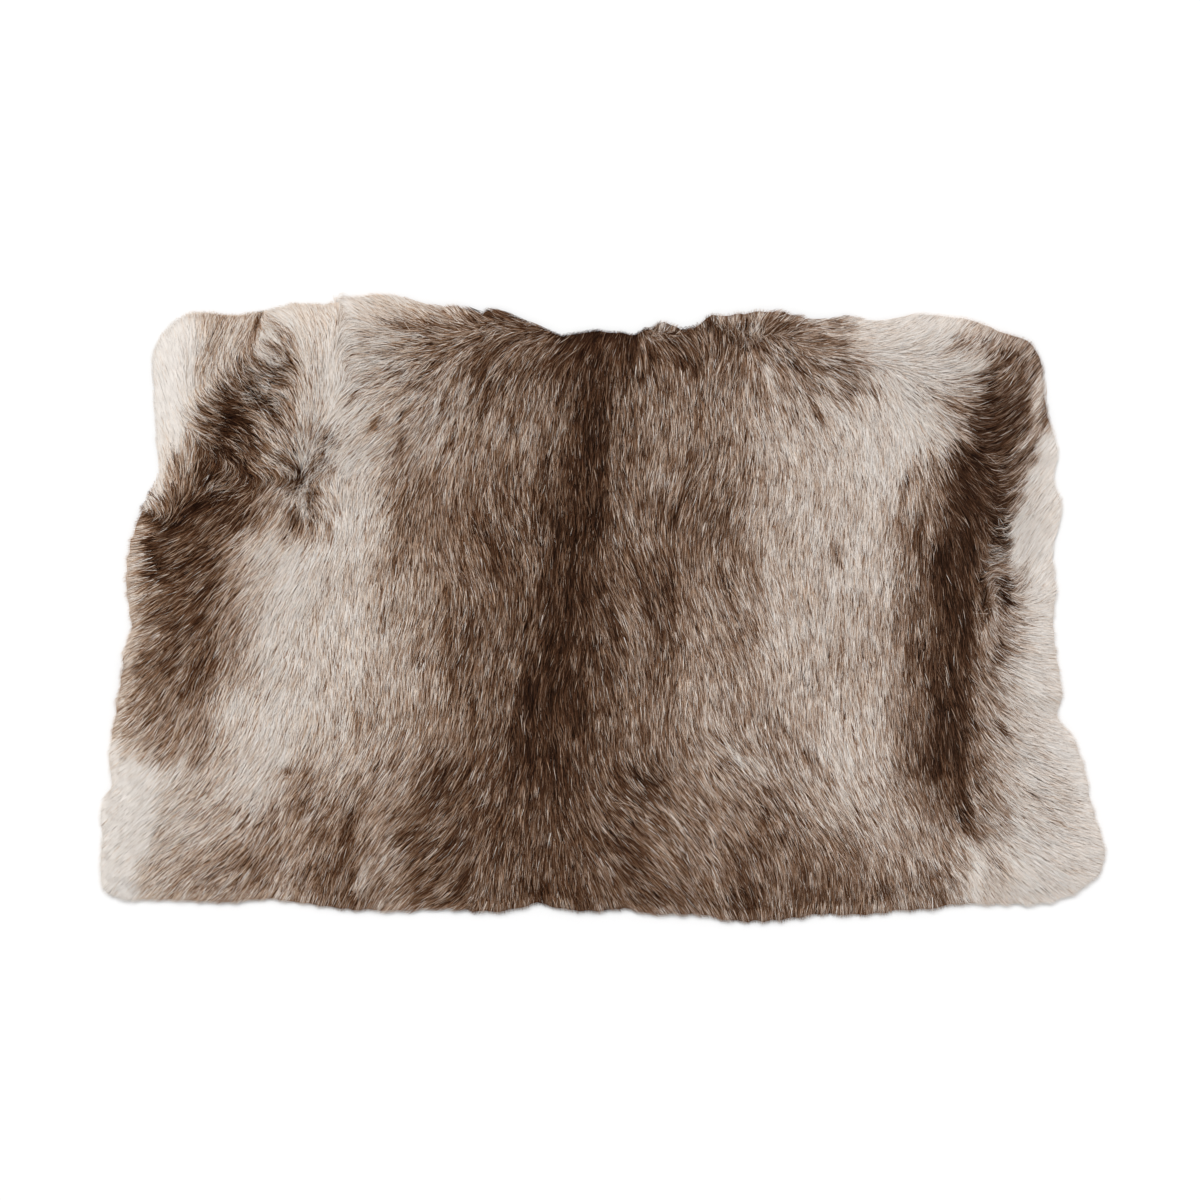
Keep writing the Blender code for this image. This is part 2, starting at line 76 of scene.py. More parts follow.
COMBING = (
    Combing("fold of the left shoulder", 8, (
        (160, 340, 295), (160, 380, 293), (160, 420, 290), (162, 460, 285), (175, 330, 292),
        (178, 360, 292), (178, 400, 290), (178, 440, 288), (190, 325, 290), (195, 345, 285),
        (205, 330, 272), (205, 365, 255), (212, 350, 256), (212, 375, 250), (218, 325, 256),
        (222, 345, 248), (232, 330, 250), (245, 335, 248), (255, 330, 248), (255, 345, 250),
        (205, 390, 258), (198, 402, 290), (195, 417, 305), (190, 428, 300), (232, 362, 270),
        (242, 362, 262), (225, 382, 300), (236, 378, 300), (215, 395, 310), (226, 396, 318),
        (240, 390, 312), (213, 408, 332), (225, 412, 340), (236, 412, 345), (210, 425, 335),
        (221, 428, 345), (232, 430, 350), (205, 440, 325), (216, 445, 330), (226, 450, 325),
        (195, 445, 275), (195, 465, 270), (190, 485, 268), (205, 465, 262), (205, 480, 245),
        (215, 480, 225), (225, 482, 212), (220, 492, 205), (235, 492, 205), (228, 462, 300),
        (235, 470, 300), (200, 515, 220), (220, 515, 222), (235, 508, 222), (185, 520, 228),
        (170, 470, 283), (175, 485, 283), (165, 490, 292), (155, 502, 315), (165, 510, 318),
        (270, 335, 330), (280, 330, 330), (290, 335, 315), (270, 350, 320), (282, 352, 325),
        (295, 350, 290), (300, 340, 285), (262, 365, 310), (275, 372, 330), (293, 378, 350),
        (300, 372, 300), (255, 385, 320), (270, 388, 335), (285, 390, 350), (245, 402, 340),
        (258, 400, 350), (272, 405, 340), (285, 405, 310), (250, 420, 345), (265, 425, 325),
        (280, 418, 310), (290, 425, 305), (245, 440, 320), (260, 440, 315), (275, 440, 312),
        (290, 440, 310), (250, 458, 315), (265, 455, 320), (280, 458, 325), (290, 468, 325),
        (270, 470, 325), (255, 475, 310), (300, 400, 280), (308, 420, 276), (305, 450, 275),
        (310, 380, 278), (315, 340, 290), (320, 325, 300), (325, 350, 275), (328, 380, 272),
        (325, 410, 268), (318, 430, 250), (322, 445, 235), (330, 430, 225), (335, 450, 230),
        (325, 470, 230), (315, 480, 225), (345, 410, 222), (345, 440, 224), (290, 498, 215),
        (280, 505, 225), (300, 505, 250), (310, 505, 290), (320, 505, 310), (325, 495, 325),
        (330, 515, 300), (265, 500, 225), (250, 510, 228), (270, 520, 235), (290, 520, 245),
        (305, 522, 270),
    )),
    Combing("whorl left of the neck", 13, (
        (375, 380, 202), (360, 350, 190), (380, 335, 180), (375, 310, 150), (360, 420, 215),
        (370, 460, 222), (400, 310, 145), (400, 340, 178), (380, 305, 147), (430, 325, 152),
        (420, 310, 142), (460, 312, 140), (500, 315, 157), (525, 325, 157), (425, 345, 182),
        (450, 345, 200), (475, 345, 208), (440, 355, 205), (412, 380, 218), (400, 395, 220),
        (380, 385, 205), (430, 390, 225), (450, 370, 248), (445, 400, 252), (475, 400, 250),
        (490, 350, 222), (520, 340, 215), (560, 350, 222), (600, 345, 230), (590, 370, 248),
        (490, 375, 242), (530, 370, 238), (550, 400, 255), (425, 430, 238), (400, 430, 225),
        (430, 460, 245), (410, 480, 240), (380, 490, 235), (340, 490, 245),
    )),
    Combing("parting right of the neck", 12, (
        (600, 340, 235), (615, 350, 262), (635, 345, 245), (650, 345, 300), (670, 345, 310),
        (690, 350, 305), (710, 342, 295), (720, 352, 262), (730, 367, 255), (725, 390, 260),
        (740, 380, 258), (750, 372, 272), (760, 372, 288), (770, 362, 302), (780, 352, 310),
        (790, 370, 312), (800, 382, 310), (780, 390, 285), (790, 402, 282), (805, 405, 292),
        (820, 390, 318), (830, 372, 325), (850, 385, 328), (840, 400, 308), (820, 420, 298),
        (655, 328, 82), (680, 328, 68), (710, 323, 115), (740, 323, 90), (757, 315, 90),
        (780, 318, 45), (790, 320, 30), (810, 325, 10), (830, 332, 5), (850, 342, 10),
        (870, 340, 12), (870, 360, 352), (850, 360, 335),
    )),
    Combing("sweep of the right shoulder", 13, (
        (850, 330, 15), (880, 335, 18), (910, 335, 22), (930, 330, 35), (950, 325, 50),
        (970, 345, 45), (940, 345, 30), (900, 350, 12), (870, 350, 5), (930, 360, 10),
        (960, 360, 22), (980, 355, 38), (1000, 350, 58), (1030, 350, 45), (1040, 370, 48),
        (1010, 370, 50), (985, 375, 15), (960, 375, 3), (930, 375, 350), (905, 370, 340),
        (880, 385, 300), (890, 400, 280), (905, 400, 300), (920, 395, 318), (940, 395, 330),
        (950, 405, 325), (975, 385, 0), (970, 400, 350), (995, 390, 25), (1010, 395, 40),
        (1030, 395, 45), (960, 415, 329), (980, 410, 342), (1000, 410, 28), (975, 425, 330),
        (1005, 430, 48), (990, 440, 355), (920, 430, 300), (940, 430, 310), (950, 450, 305),
        (970, 450, 310), (985, 455, 322), (1000, 455, 20), (1010, 450, 35), (1025, 440, 48),
        (1040, 460, 50), (1020, 470, 45), (990, 475, 325), (975, 480, 312), (960, 480, 298),
        (940, 480, 288), (920, 470, 285), (900, 450, 275), (880, 430, 283), (860, 470, 272),
    )),
    Combing("curls of the right flank", 6, (
        (965, 500, 300), (978, 515, 305), (970, 540, 285), (975, 570, 279), (976, 600, 277),
        (978, 630, 278), (980, 660, 282), (985, 535, 295), (984, 555, 285), (985, 640, 282),
        (995, 515, 320), (1003, 520, 345), (1002, 535, 350), (1000, 552, 15), (1007, 558, 0),
        (989, 605, 95), (990, 590, 85), (993, 577, 62), (1000, 570, 20), (1007, 573, 335),
        (1011, 582, 308), (1003, 595, 340), (1008, 601, 320), (997, 615, 285), (1000, 628, 290),
        (1010, 618, 320), (1020, 625, 342), (1003, 640, 310), (1010, 650, 325), (1015, 640, 335),
        (995, 652, 300), (1000, 662, 315), (1008, 668, 338), (985, 675, 302), (993, 685, 306),
        (1018, 505, 58), (1030, 500, 55), (1045, 500, 50), (1018, 530, 62), (1035, 535, 57),
        (1048, 545, 52), (1018, 558, 60), (1032, 565, 55), (1048, 572, 48), (1020, 585, 48),
        (1032, 592, 30), (1048, 598, 25), (1020, 600, 330), (1035, 610, 350), (1050, 618, 5),
        (1030, 630, 345), (1045, 640, 350), (1025, 650, 345), (1040, 660, 345), (1055, 665, 348),
        (1020, 672, 338), (1040, 682, 342),
    )),
    Combing("right flank", 22, (
        (840, 500, 268), (870, 500, 270), (905, 520, 262), (930, 500, 282), (950, 500, 298),
        (970, 500, 310), (970, 550, 280), (940, 560, 275), (900, 560, 266), (860, 560, 270),
        (985, 620, 280), (950, 640, 272), (920, 650, 268), (880, 600, 270), (850, 620, 268),
        (1000, 685, 310), (1015, 690, 322), (1030, 690, 335), (1050, 695, 342), (970, 690, 285),
        (900, 690, 268), (890, 720, 275), (940, 720, 272), (960, 710, 282), (975, 715, 300),
        (1005, 705, 318), (1035, 705, 335), (1000, 730, 310), (1025, 735, 330), (1045, 740, 342),
        (900, 750, 272), (955, 740, 272), (1015, 760, 315), (1050, 765, 345), (1070, 760, 350),
        (890, 790, 295), (950, 780, 275), (990, 780, 300), (1020, 785, 318), (1050, 800, 340),
    )),
    Combing("right corner of the rump", 22, (
        (880, 820, 295), (900, 820, 285), (950, 810, 285), (1000, 820, 310), (1020, 825, 320),
        (1045, 825, 332), (1070, 830, 342), (1090, 830, 345), (860, 850, 305), (910, 845, 290),
        (970, 845, 302), (1010, 850, 320), (1040, 850, 325), (1070, 855, 335), (1095, 860, 345),
        (890, 875, 290), (945, 875, 298), (990, 870, 300), (1020, 875, 315), (1060, 880, 325),
        (850, 900, 272), (900, 900, 275), (950, 900, 292), (1000, 890, 300), (1040, 895, 318),
    )),
    Combing("left flank", 20, (
        (140, 540, 185), (150, 530, 195), (140, 560, 185), (150, 580, 193), (140, 600, 200),
        (140, 630, 206), (140, 660, 212), (175, 540, 218), (200, 540, 223), (175, 560, 215),
        (225, 550, 226), (250, 540, 228), (275, 560, 232), (300, 560, 240), (330, 560, 250),
        (350, 560, 257), (160, 590, 208), (190, 590, 218), (220, 590, 225), (250, 600, 235),
        (280, 600, 240), (310, 600, 250), (340, 600, 262), (370, 600, 268), (180, 620, 218),
        (210, 625, 230), (240, 630, 242), (270, 630, 250), (300, 640, 260), (330, 640, 278),
        (360, 650, 277), (170, 660, 225), (200, 660, 240), (230, 660, 250), (260, 660, 255),
        (320, 670, 275), (350, 680, 272), (130, 690, 212), (160, 690, 222), (190, 690, 238),
        (220, 690, 250), (280, 680, 237), (300, 690, 245), (250, 510, 235), (230, 520, 228),
        (300, 515, 229), (322, 520, 290), (332, 532, 282), (345, 500, 255), (380, 505, 245),
        (355, 530, 262),
    )),
    Combing("left corner of the rump", 22, (
        (120, 715, 212), (150, 710, 230), (175, 710, 242), (200, 715, 250), (250, 720, 252),
        (300, 720, 262), (330, 720, 279), (360, 720, 268), (120, 740, 215), (140, 740, 222),
        (165, 740, 232), (200, 750, 245), (215, 765, 235), (235, 745, 255), (280, 750, 255),
        (320, 760, 245), (345, 750, 262), (380, 760, 250), (120, 775, 222), (160, 770, 236),
        (190, 785, 226), (230, 790, 225), (258, 790, 250), (280, 782, 232), (320, 790, 235),
        (360, 785, 236), (110, 805, 220), (145, 810, 225), (190, 810, 217), (220, 812, 215),
        (240, 810, 228), (255, 812, 260), (275, 810, 245), (300, 810, 235), (350, 810, 245),
        (110, 850, 222), (150, 840, 225), (185, 835, 212), (225, 830, 212), (240, 830, 222),
        (260, 835, 257), (285, 840, 230), (330, 840, 242), (350, 845, 255), (375, 840, 250),
        (130, 880, 228), (160, 870, 222), (200, 855, 208), (235, 860, 222), (270, 875, 230),
        (300, 865, 245), (330, 870, 252), (370, 880, 244), (150, 895, 225), (200, 892, 225),
        (250, 892, 230), (300, 895, 248), (350, 895, 250), (385, 890, 226),
    )),
    Combing("middle of the rump", 18, (
        (400, 760, 248), (420, 740, 262), (450, 720, 262), (430, 765, 240), (440, 782, 235),
        (425, 800, 235), (460, 780, 250), (490, 758, 255), (530, 720, 270), (545, 740, 278),
        (562, 735, 290), (590, 740, 268), (520, 760, 262), (550, 770, 270), (575, 780, 275),
        (600, 785, 288), (620, 820, 310), (635, 820, 325), (605, 840, 305), (630, 850, 312),
        (590, 830, 290), (582, 860, 290), (605, 870, 298), (630, 880, 308), (600, 900, 285),
        (550, 850, 275), (540, 868, 270), (520, 850, 262), (500, 850, 260), (485, 835, 252),
        (465, 830, 245), (445, 825, 236), (420, 830, 222), (395, 838, 214), (440, 860, 218),
        (380, 870, 228), (410, 880, 216), (450, 885, 222), (470, 865, 250), (480, 885, 268),
        (530, 895, 268), (575, 892, 275), (440, 902, 215), (390, 810, 232),
    )),
    Combing("rump right of the spine", 20, (
        (630, 720, 275), (680, 715, 264), (750, 720, 272), (800, 740, 275), (830, 720, 272),
        (860, 720, 278), (610, 760, 272), (660, 760, 270), (685, 755, 288), (705, 760, 295),
        (720, 770, 303), (745, 768, 314), (730, 785, 315), (750, 790, 305), (780, 770, 302),
        (800, 760, 280), (850, 760, 282), (620, 800, 315), (640, 800, 327), (660, 808, 325),
        (680, 800, 300), (720, 800, 296), (750, 805, 300), (800, 810, 300), (850, 800, 292),
        (625, 825, 322), (650, 830, 325), (670, 832, 310), (700, 840, 300), (770, 840, 302),
        (830, 840, 302), (650, 860, 310), (700, 870, 300), (760, 870, 298), (785, 865, 283),
        (835, 865, 295), (650, 885, 320), (670, 890, 315), (720, 892, 295), (775, 892, 285),
        (788, 903, 262), (820, 892, 268), (860, 890, 270),
    )),
    Combing("back", 26, (
        (480, 430, 258), (530, 440, 262), (560, 440, 265), (590, 400, 258), (610, 370, 266),
        (630, 365, 280), (650, 400, 268), (640, 440, 266), (680, 385, 280), (700, 420, 268),
        (740, 430, 270), (770, 420, 276), (800, 440, 285), (820, 460, 280), (845, 440, 296),
        (450, 470, 258), (500, 480, 266), (400, 520, 250), (430, 500, 258), (475, 510, 268),
        (430, 550, 264), (460, 555, 285), (465, 575, 287), (500, 558, 299), (512, 545, 295),
        (490, 577, 290), (530, 560, 268), (548, 560, 250), (570, 565, 265), (605, 540, 270),
        (600, 500, 272), (610, 610, 292), (630, 530, 287), (650, 565, 297), (655, 580, 297),
        (680, 520, 250), (710, 515, 248), (700, 545, 256), (740, 530, 265), (770, 520, 262),
        (800, 540, 262), (690, 580, 260), (720, 590, 290), (745, 605, 303), (725, 630, 296),
        (750, 640, 290), (705, 655, 288), (690, 640, 275), (740, 665, 278), (640, 620, 295),
        (630, 660, 287), (668, 685, 255), (770, 605, 285), (800, 600, 272), (820, 570, 270),
        (800, 660, 272), (850, 680, 268), (390, 590, 262), (395, 625, 248), (420, 640, 250),
        (430, 600, 275), (460, 640, 250), (490, 640, 262), (550, 640, 258), (560, 680, 258),
        (440, 675, 268), (490, 695, 258), (590, 690, 270), (620, 690, 286), (400, 670, 272),
    )),
)

# Where the hair stands ruffled: a place on the chart, its reach there and how much, 1 at most.
Ruffle = namedtuple("Ruffle", "across down reach amount")

RUFFLES = tuple(Ruffle(*row) for row in (
    # fold of the left shoulder
    (277, 336, 10, 0.50), (284, 368, 10, 0.80), (262, 398, 12, 0.85), (278, 405, 10, 0.80),
    (247, 415, 9, 0.60), (225, 455, 8, 0.40), (212, 495, 12, 0.45), (300, 495, 15, 0.85),
    (312, 515, 12, 0.70), (326, 448, 8, 0.75), (320, 472, 9, 0.75), (166, 522, 8, 0.35),
    # rim of the neck
    (620, 335, 12, 0.25), (665, 330, 14, 0.45), (715, 322, 14, 0.50), (750, 320, 14, 0.50),
    (790, 360, 12, 0.40), (480, 330, 12, 0.30), (825, 385, 12, 0.40),
    # right shoulder and flank
    (995, 460, 10, 0.30), (1003, 532, 8, 0.85), (1003, 552, 7, 0.80), (1004, 596, 7, 0.35),
    (1004, 616, 7, 0.40), (1020, 584, 5, 0.40),
    # rump
    (640, 775, 12, 0.30), (745, 765, 12, 0.35), (253, 815, 9, 0.30),
    # all of the fold, and the hair beside it
    (262, 385, 28, 0.42), (240, 455, 34, 0.36), (305, 470, 28, 0.50), (318, 452, 10, 0.65),
    (395, 370, 36, 0.28), (430, 410, 36, 0.24),
    # spine
    (588, 420, 60, 0.13), (580, 530, 60, 0.13), (565, 640, 60, 0.13), (545, 740, 50, 0.10),
))

# Where the tips reach further out at the rim than elsewhere, or less far: a place, its reach there
# and how much further, all on the chart.
Fringe = namedtuple("Fringe", "across down reach further")

FRINGES = tuple(Fringe(*row) for row in (
    (262, 310, 14, 3.0), (290, 305, 14, 2.5), (335, 301, 12, 1.5), (420, 304, 12, 2.5),
    (985, 323, 18, 2.5), (1033, 343, 14, 2.0), (1047, 399, 14, 1.0), (1058, 568, 30, -2.5),
    (123, 650, 26, -1.5), (104, 840, 20, 2.0), (106, 892, 14, 3.0), (345, 912, 12, 1.0),
    (400, 913, 14, 1.0), (550, 909, 10, 2.0), (648, 915, 14, 3.5), (728, 922, 12, 2.0),
    (823, 918, 16, 1.5), (890, 913, 12, 1.5), (1050, 905, 20, 1.0),
))

# Tones of the coat, from 0, umber, to 1, cream, as patches on the chart: left, right, top, bottom.
# They and the streaks were listed, and corrected against the photo's brightness.
# Where the coat folds, at the left shoulder and in the right flank's curls, its darkest tones are painted
# shade in pits and creases as well as dark hair.
Patch = namedtuple("Patch", "left right top bottom tone")

PATCHES = tuple(Patch(*row) for row in (
    # left shoulder
    (153, 186, 316, 450, .95), (205, 325, 306, 320, .84), (192, 206, 385, 440, .80),
    (202, 240, 318, 365, .70), (246, 258, 325, 365, .54), (219, 240, 402, 455, .21),
    (262, 300, 322, 348, .92), (255, 290, 375, 440, .42), (302, 322, 320, 440, .66),
    (324, 345, 305, 430, .86), (200, 255, 465, 505, .28), (262, 292, 455, 505, .49),
    (302, 325, 440, 500, .44), (180, 200, 455, 490, .40), (328, 345, 440, 500, .80),
    # neck, left of the spine
    (345, 410, 297, 322, .78), (410, 440, 308, 330, .62), (345, 372, 335, 400, .75),
    (375, 425, 340, 395, .52), (345, 385, 402, 470, .81), (345, 375, 475, 500, .76),
    (388, 428, 405, 470, .56), (386, 428, 475, 500, .47), (430, 470, 325, 360, .42),
    (430, 472, 365, 500, .50), (474, 510, 330, 420, .35), (474, 498, 425, 500, .49),
    (502, 545, 400, 465, .50), (502, 545, 470, 500, .39), (510, 545, 345, 395, .37),
    (480, 560, 312, 342, .31), (562, 628, 342, 378, .16), (572, 612, 380, 500, .14),
    (550, 568, 380, 440, .35), (548, 568, 445, 500, .20), (616, 640, 380, 500, .40),
    # neck, right of the spine
    (630, 695, 325, 368, .29), (642, 682, 372, 500, .50), (688, 702, 395, 490, .49),
    (705, 758, 350, 500, .51), (762, 800, 385, 430, .60), (762, 800, 435, 500, .64),
    (764, 815, 350, 385, .46), (806, 850, 406, 500, .70), (852, 905, 408, 500, .79),
    (700, 798, 327, 345, .23), (700, 800, 312, 323, .46), (802, 848, 328, 352, .56),
    (838, 862, 358, 390, .56), (865, 945, 320, 350, .84), (870, 945, 355, 395, .77),
    # right shoulder
    (880, 935, 400, 470, .80), (938, 962, 395, 440, .70), (968, 985, 345, 385, .74),
    (990, 1040, 335, 425, .39), (985, 1010, 405, 500, .19), (965, 985, 405, 450, .36),
    (940, 978, 455, 500, .23), (906, 925, 480, 530, .50), (1012, 1028, 440, 468, .34),
    (1010, 1024, 478, 500, .55), (1042, 1065, 440, 500, .88),
    # left flank
    (142, 225, 512, 600, .28), (126, 136, 530, 640, .70), (232, 246, 545, 600, .60),
    (252, 285, 535, 600, .78), (284, 338, 545, 640, .82), (298, 308, 508, 526, .42),
    (312, 340, 505, 532, .67), (262, 290, 508, 530, .61), (225, 255, 505, 525, .34),
    (140, 160, 602, 700, .44), (164, 190, 602, 690, .37), (194, 226, 602, 690, .34),
    (232, 250, 602, 640, .57), (228, 246, 645, 680, .58), (232, 262, 682, 700, .72),
    (254, 275, 602, 700, .82), (278, 345, 642, 700, .78), (345, 388, 550, 700, .77),
    # middle
    (340, 378, 500, 548, .80), (390, 428, 480, 555, .43), (384, 428, 560, 575, .52),
    (382, 428, 580, 620, .59), (430, 480, 500, 620, .44), (484, 540, 500, 560, .32),
    (484, 535, 565, 640, .38), (376, 425, 625, 700, .60), (430, 500, 630, 700, .40),
    (500, 535, 645, 700, .32), (545, 604, 500, 600, .15), (540, 590, 600, 700, .14),
    (594, 606, 600, 700, .23), (606, 634, 500, 700, .40), (636, 675, 500, 560, .42),
    (636, 675, 565, 640, .36), (636, 668, 645, 700, .40), (684, 745, 500, 560, .46),
    (684, 725, 570, 640, .50), (684, 745, 650, 700, .52), (730, 750, 570, 640, .46),
    (752, 775, 500, 600, .63), (750, 775, 610, 700, .63), (778, 850, 500, 640, .68),
    (778, 850, 650, 700, .62), (852, 898, 500, 600, .70), (852, 898, 610, 700, .62),
    # right flank
    (902, 918, 535, 700, .35), (926, 984, 500, 700, .20), (990, 1000, 560, 640, .39),
    (990, 1002, 645, 700, .62), (1008, 1018, 560, 640, .64), (1024, 1065, 500, 640, .86),
    (1012, 1065, 650, 720, .84),
    # left corner of the rump
    (114, 126, 700, 730, .62), (132, 150, 700, 745, .49), (155, 180, 700, 745, .51),
    (185, 215, 700, 755, .48), (155, 180, 748, 765, .61), (185, 215, 760, 800, .68),
    (100, 150, 770, 900, .94), (110, 135, 740, 765, .85), (152, 180, 775, 800, .85),
    (222, 240, 700, 790, .83), (245, 305, 700, 750, .83), (245, 280, 752, 790, .79),
    (290, 330, 700, 735, .77), (310, 350, 740, 765, .66), (155, 200, 800, 850, .72),
    (205, 245, 800, 850, .64), (285, 340, 775, 845, .53), (150, 200, 855, 900, .60),
    (205, 275, 855, 895, .53), (278, 318, 850, 900, .54), (322, 346, 835, 900, .38),
    (354, 372, 850, 900, .39), (345, 372, 700, 760, .68), (350, 375, 765, 845, .50),
    (376, 396, 700, 765, .58), (398, 425, 700, 752, .56),
    # middle of the rump
    (376, 400, 770, 820, .54), (402, 420, 770, 800, .49), (422, 450, 755, 800, .30),
    (400, 450, 805, 900, .34), (376, 394, 835, 900, .65), (428, 455, 700, 745, .44),
    (458, 500, 700, 760, .40), (455, 500, 765, 840, .33), (504, 516, 700, 790, .23),
    (460, 520, 845, 900, .35), (520, 590, 805, 900, .29), (518, 556, 700, 785, .14),
    (560, 600, 700, 790, .25), (602, 638, 700, 765, .42), (642, 680, 700, 760, .47),
    (684, 758, 700, 745, .57), (762, 800, 725, 772, .52), (628, 655, 770, 790, .31),
    (600, 640, 800, 850, .36), (655, 690, 790, 850, .44), (692, 720, 780, 830, .49),
    (640, 700, 855, 900, .40), (600, 640, 855, 900, .32), (700, 722, 835, 880, .48),
    (724, 758, 785, 830, .51), (725, 758, 840, 902, .34), (760, 800, 780, 830, .48),
    (762, 798, 835, 900, .42),
    # right corner of the rump
    (802, 845, 700, 770, .66), (802, 850, 775, 820, .64), (850, 898, 700, 820, .68),
    (802, 850, 825, 860, .47), (852, 895, 825, 850, .56), (802, 878, 862, 915, .39),
    (880, 900, 855, 905, .54), (902, 916, 700, 800, .39), (924, 984, 700, 780, .26),
    (930, 980, 785, 825, .37), (988, 1004, 700, 750, .60), (988, 1004, 755, 830, .59),
    (900, 925, 805, 850, .58), (905, 955, 855, 905, .48), (930, 975, 835, 860, .57),
    (962, 1000, 850, 905, .69), (1008, 1030, 700, 790, .74), (1034, 1100, 720, 780, .84),
    (1034, 1070, 785, 830, .77), (1075, 1100, 785, 905, .86), (1006, 1070, 835, 905, .84),
))

# Streaks, laid over the patches: on the chart from one place to another, with how far they reach to
# each side and their tone.
Streak = namedtuple("Streak", "across down to_across to_down half_width tone")

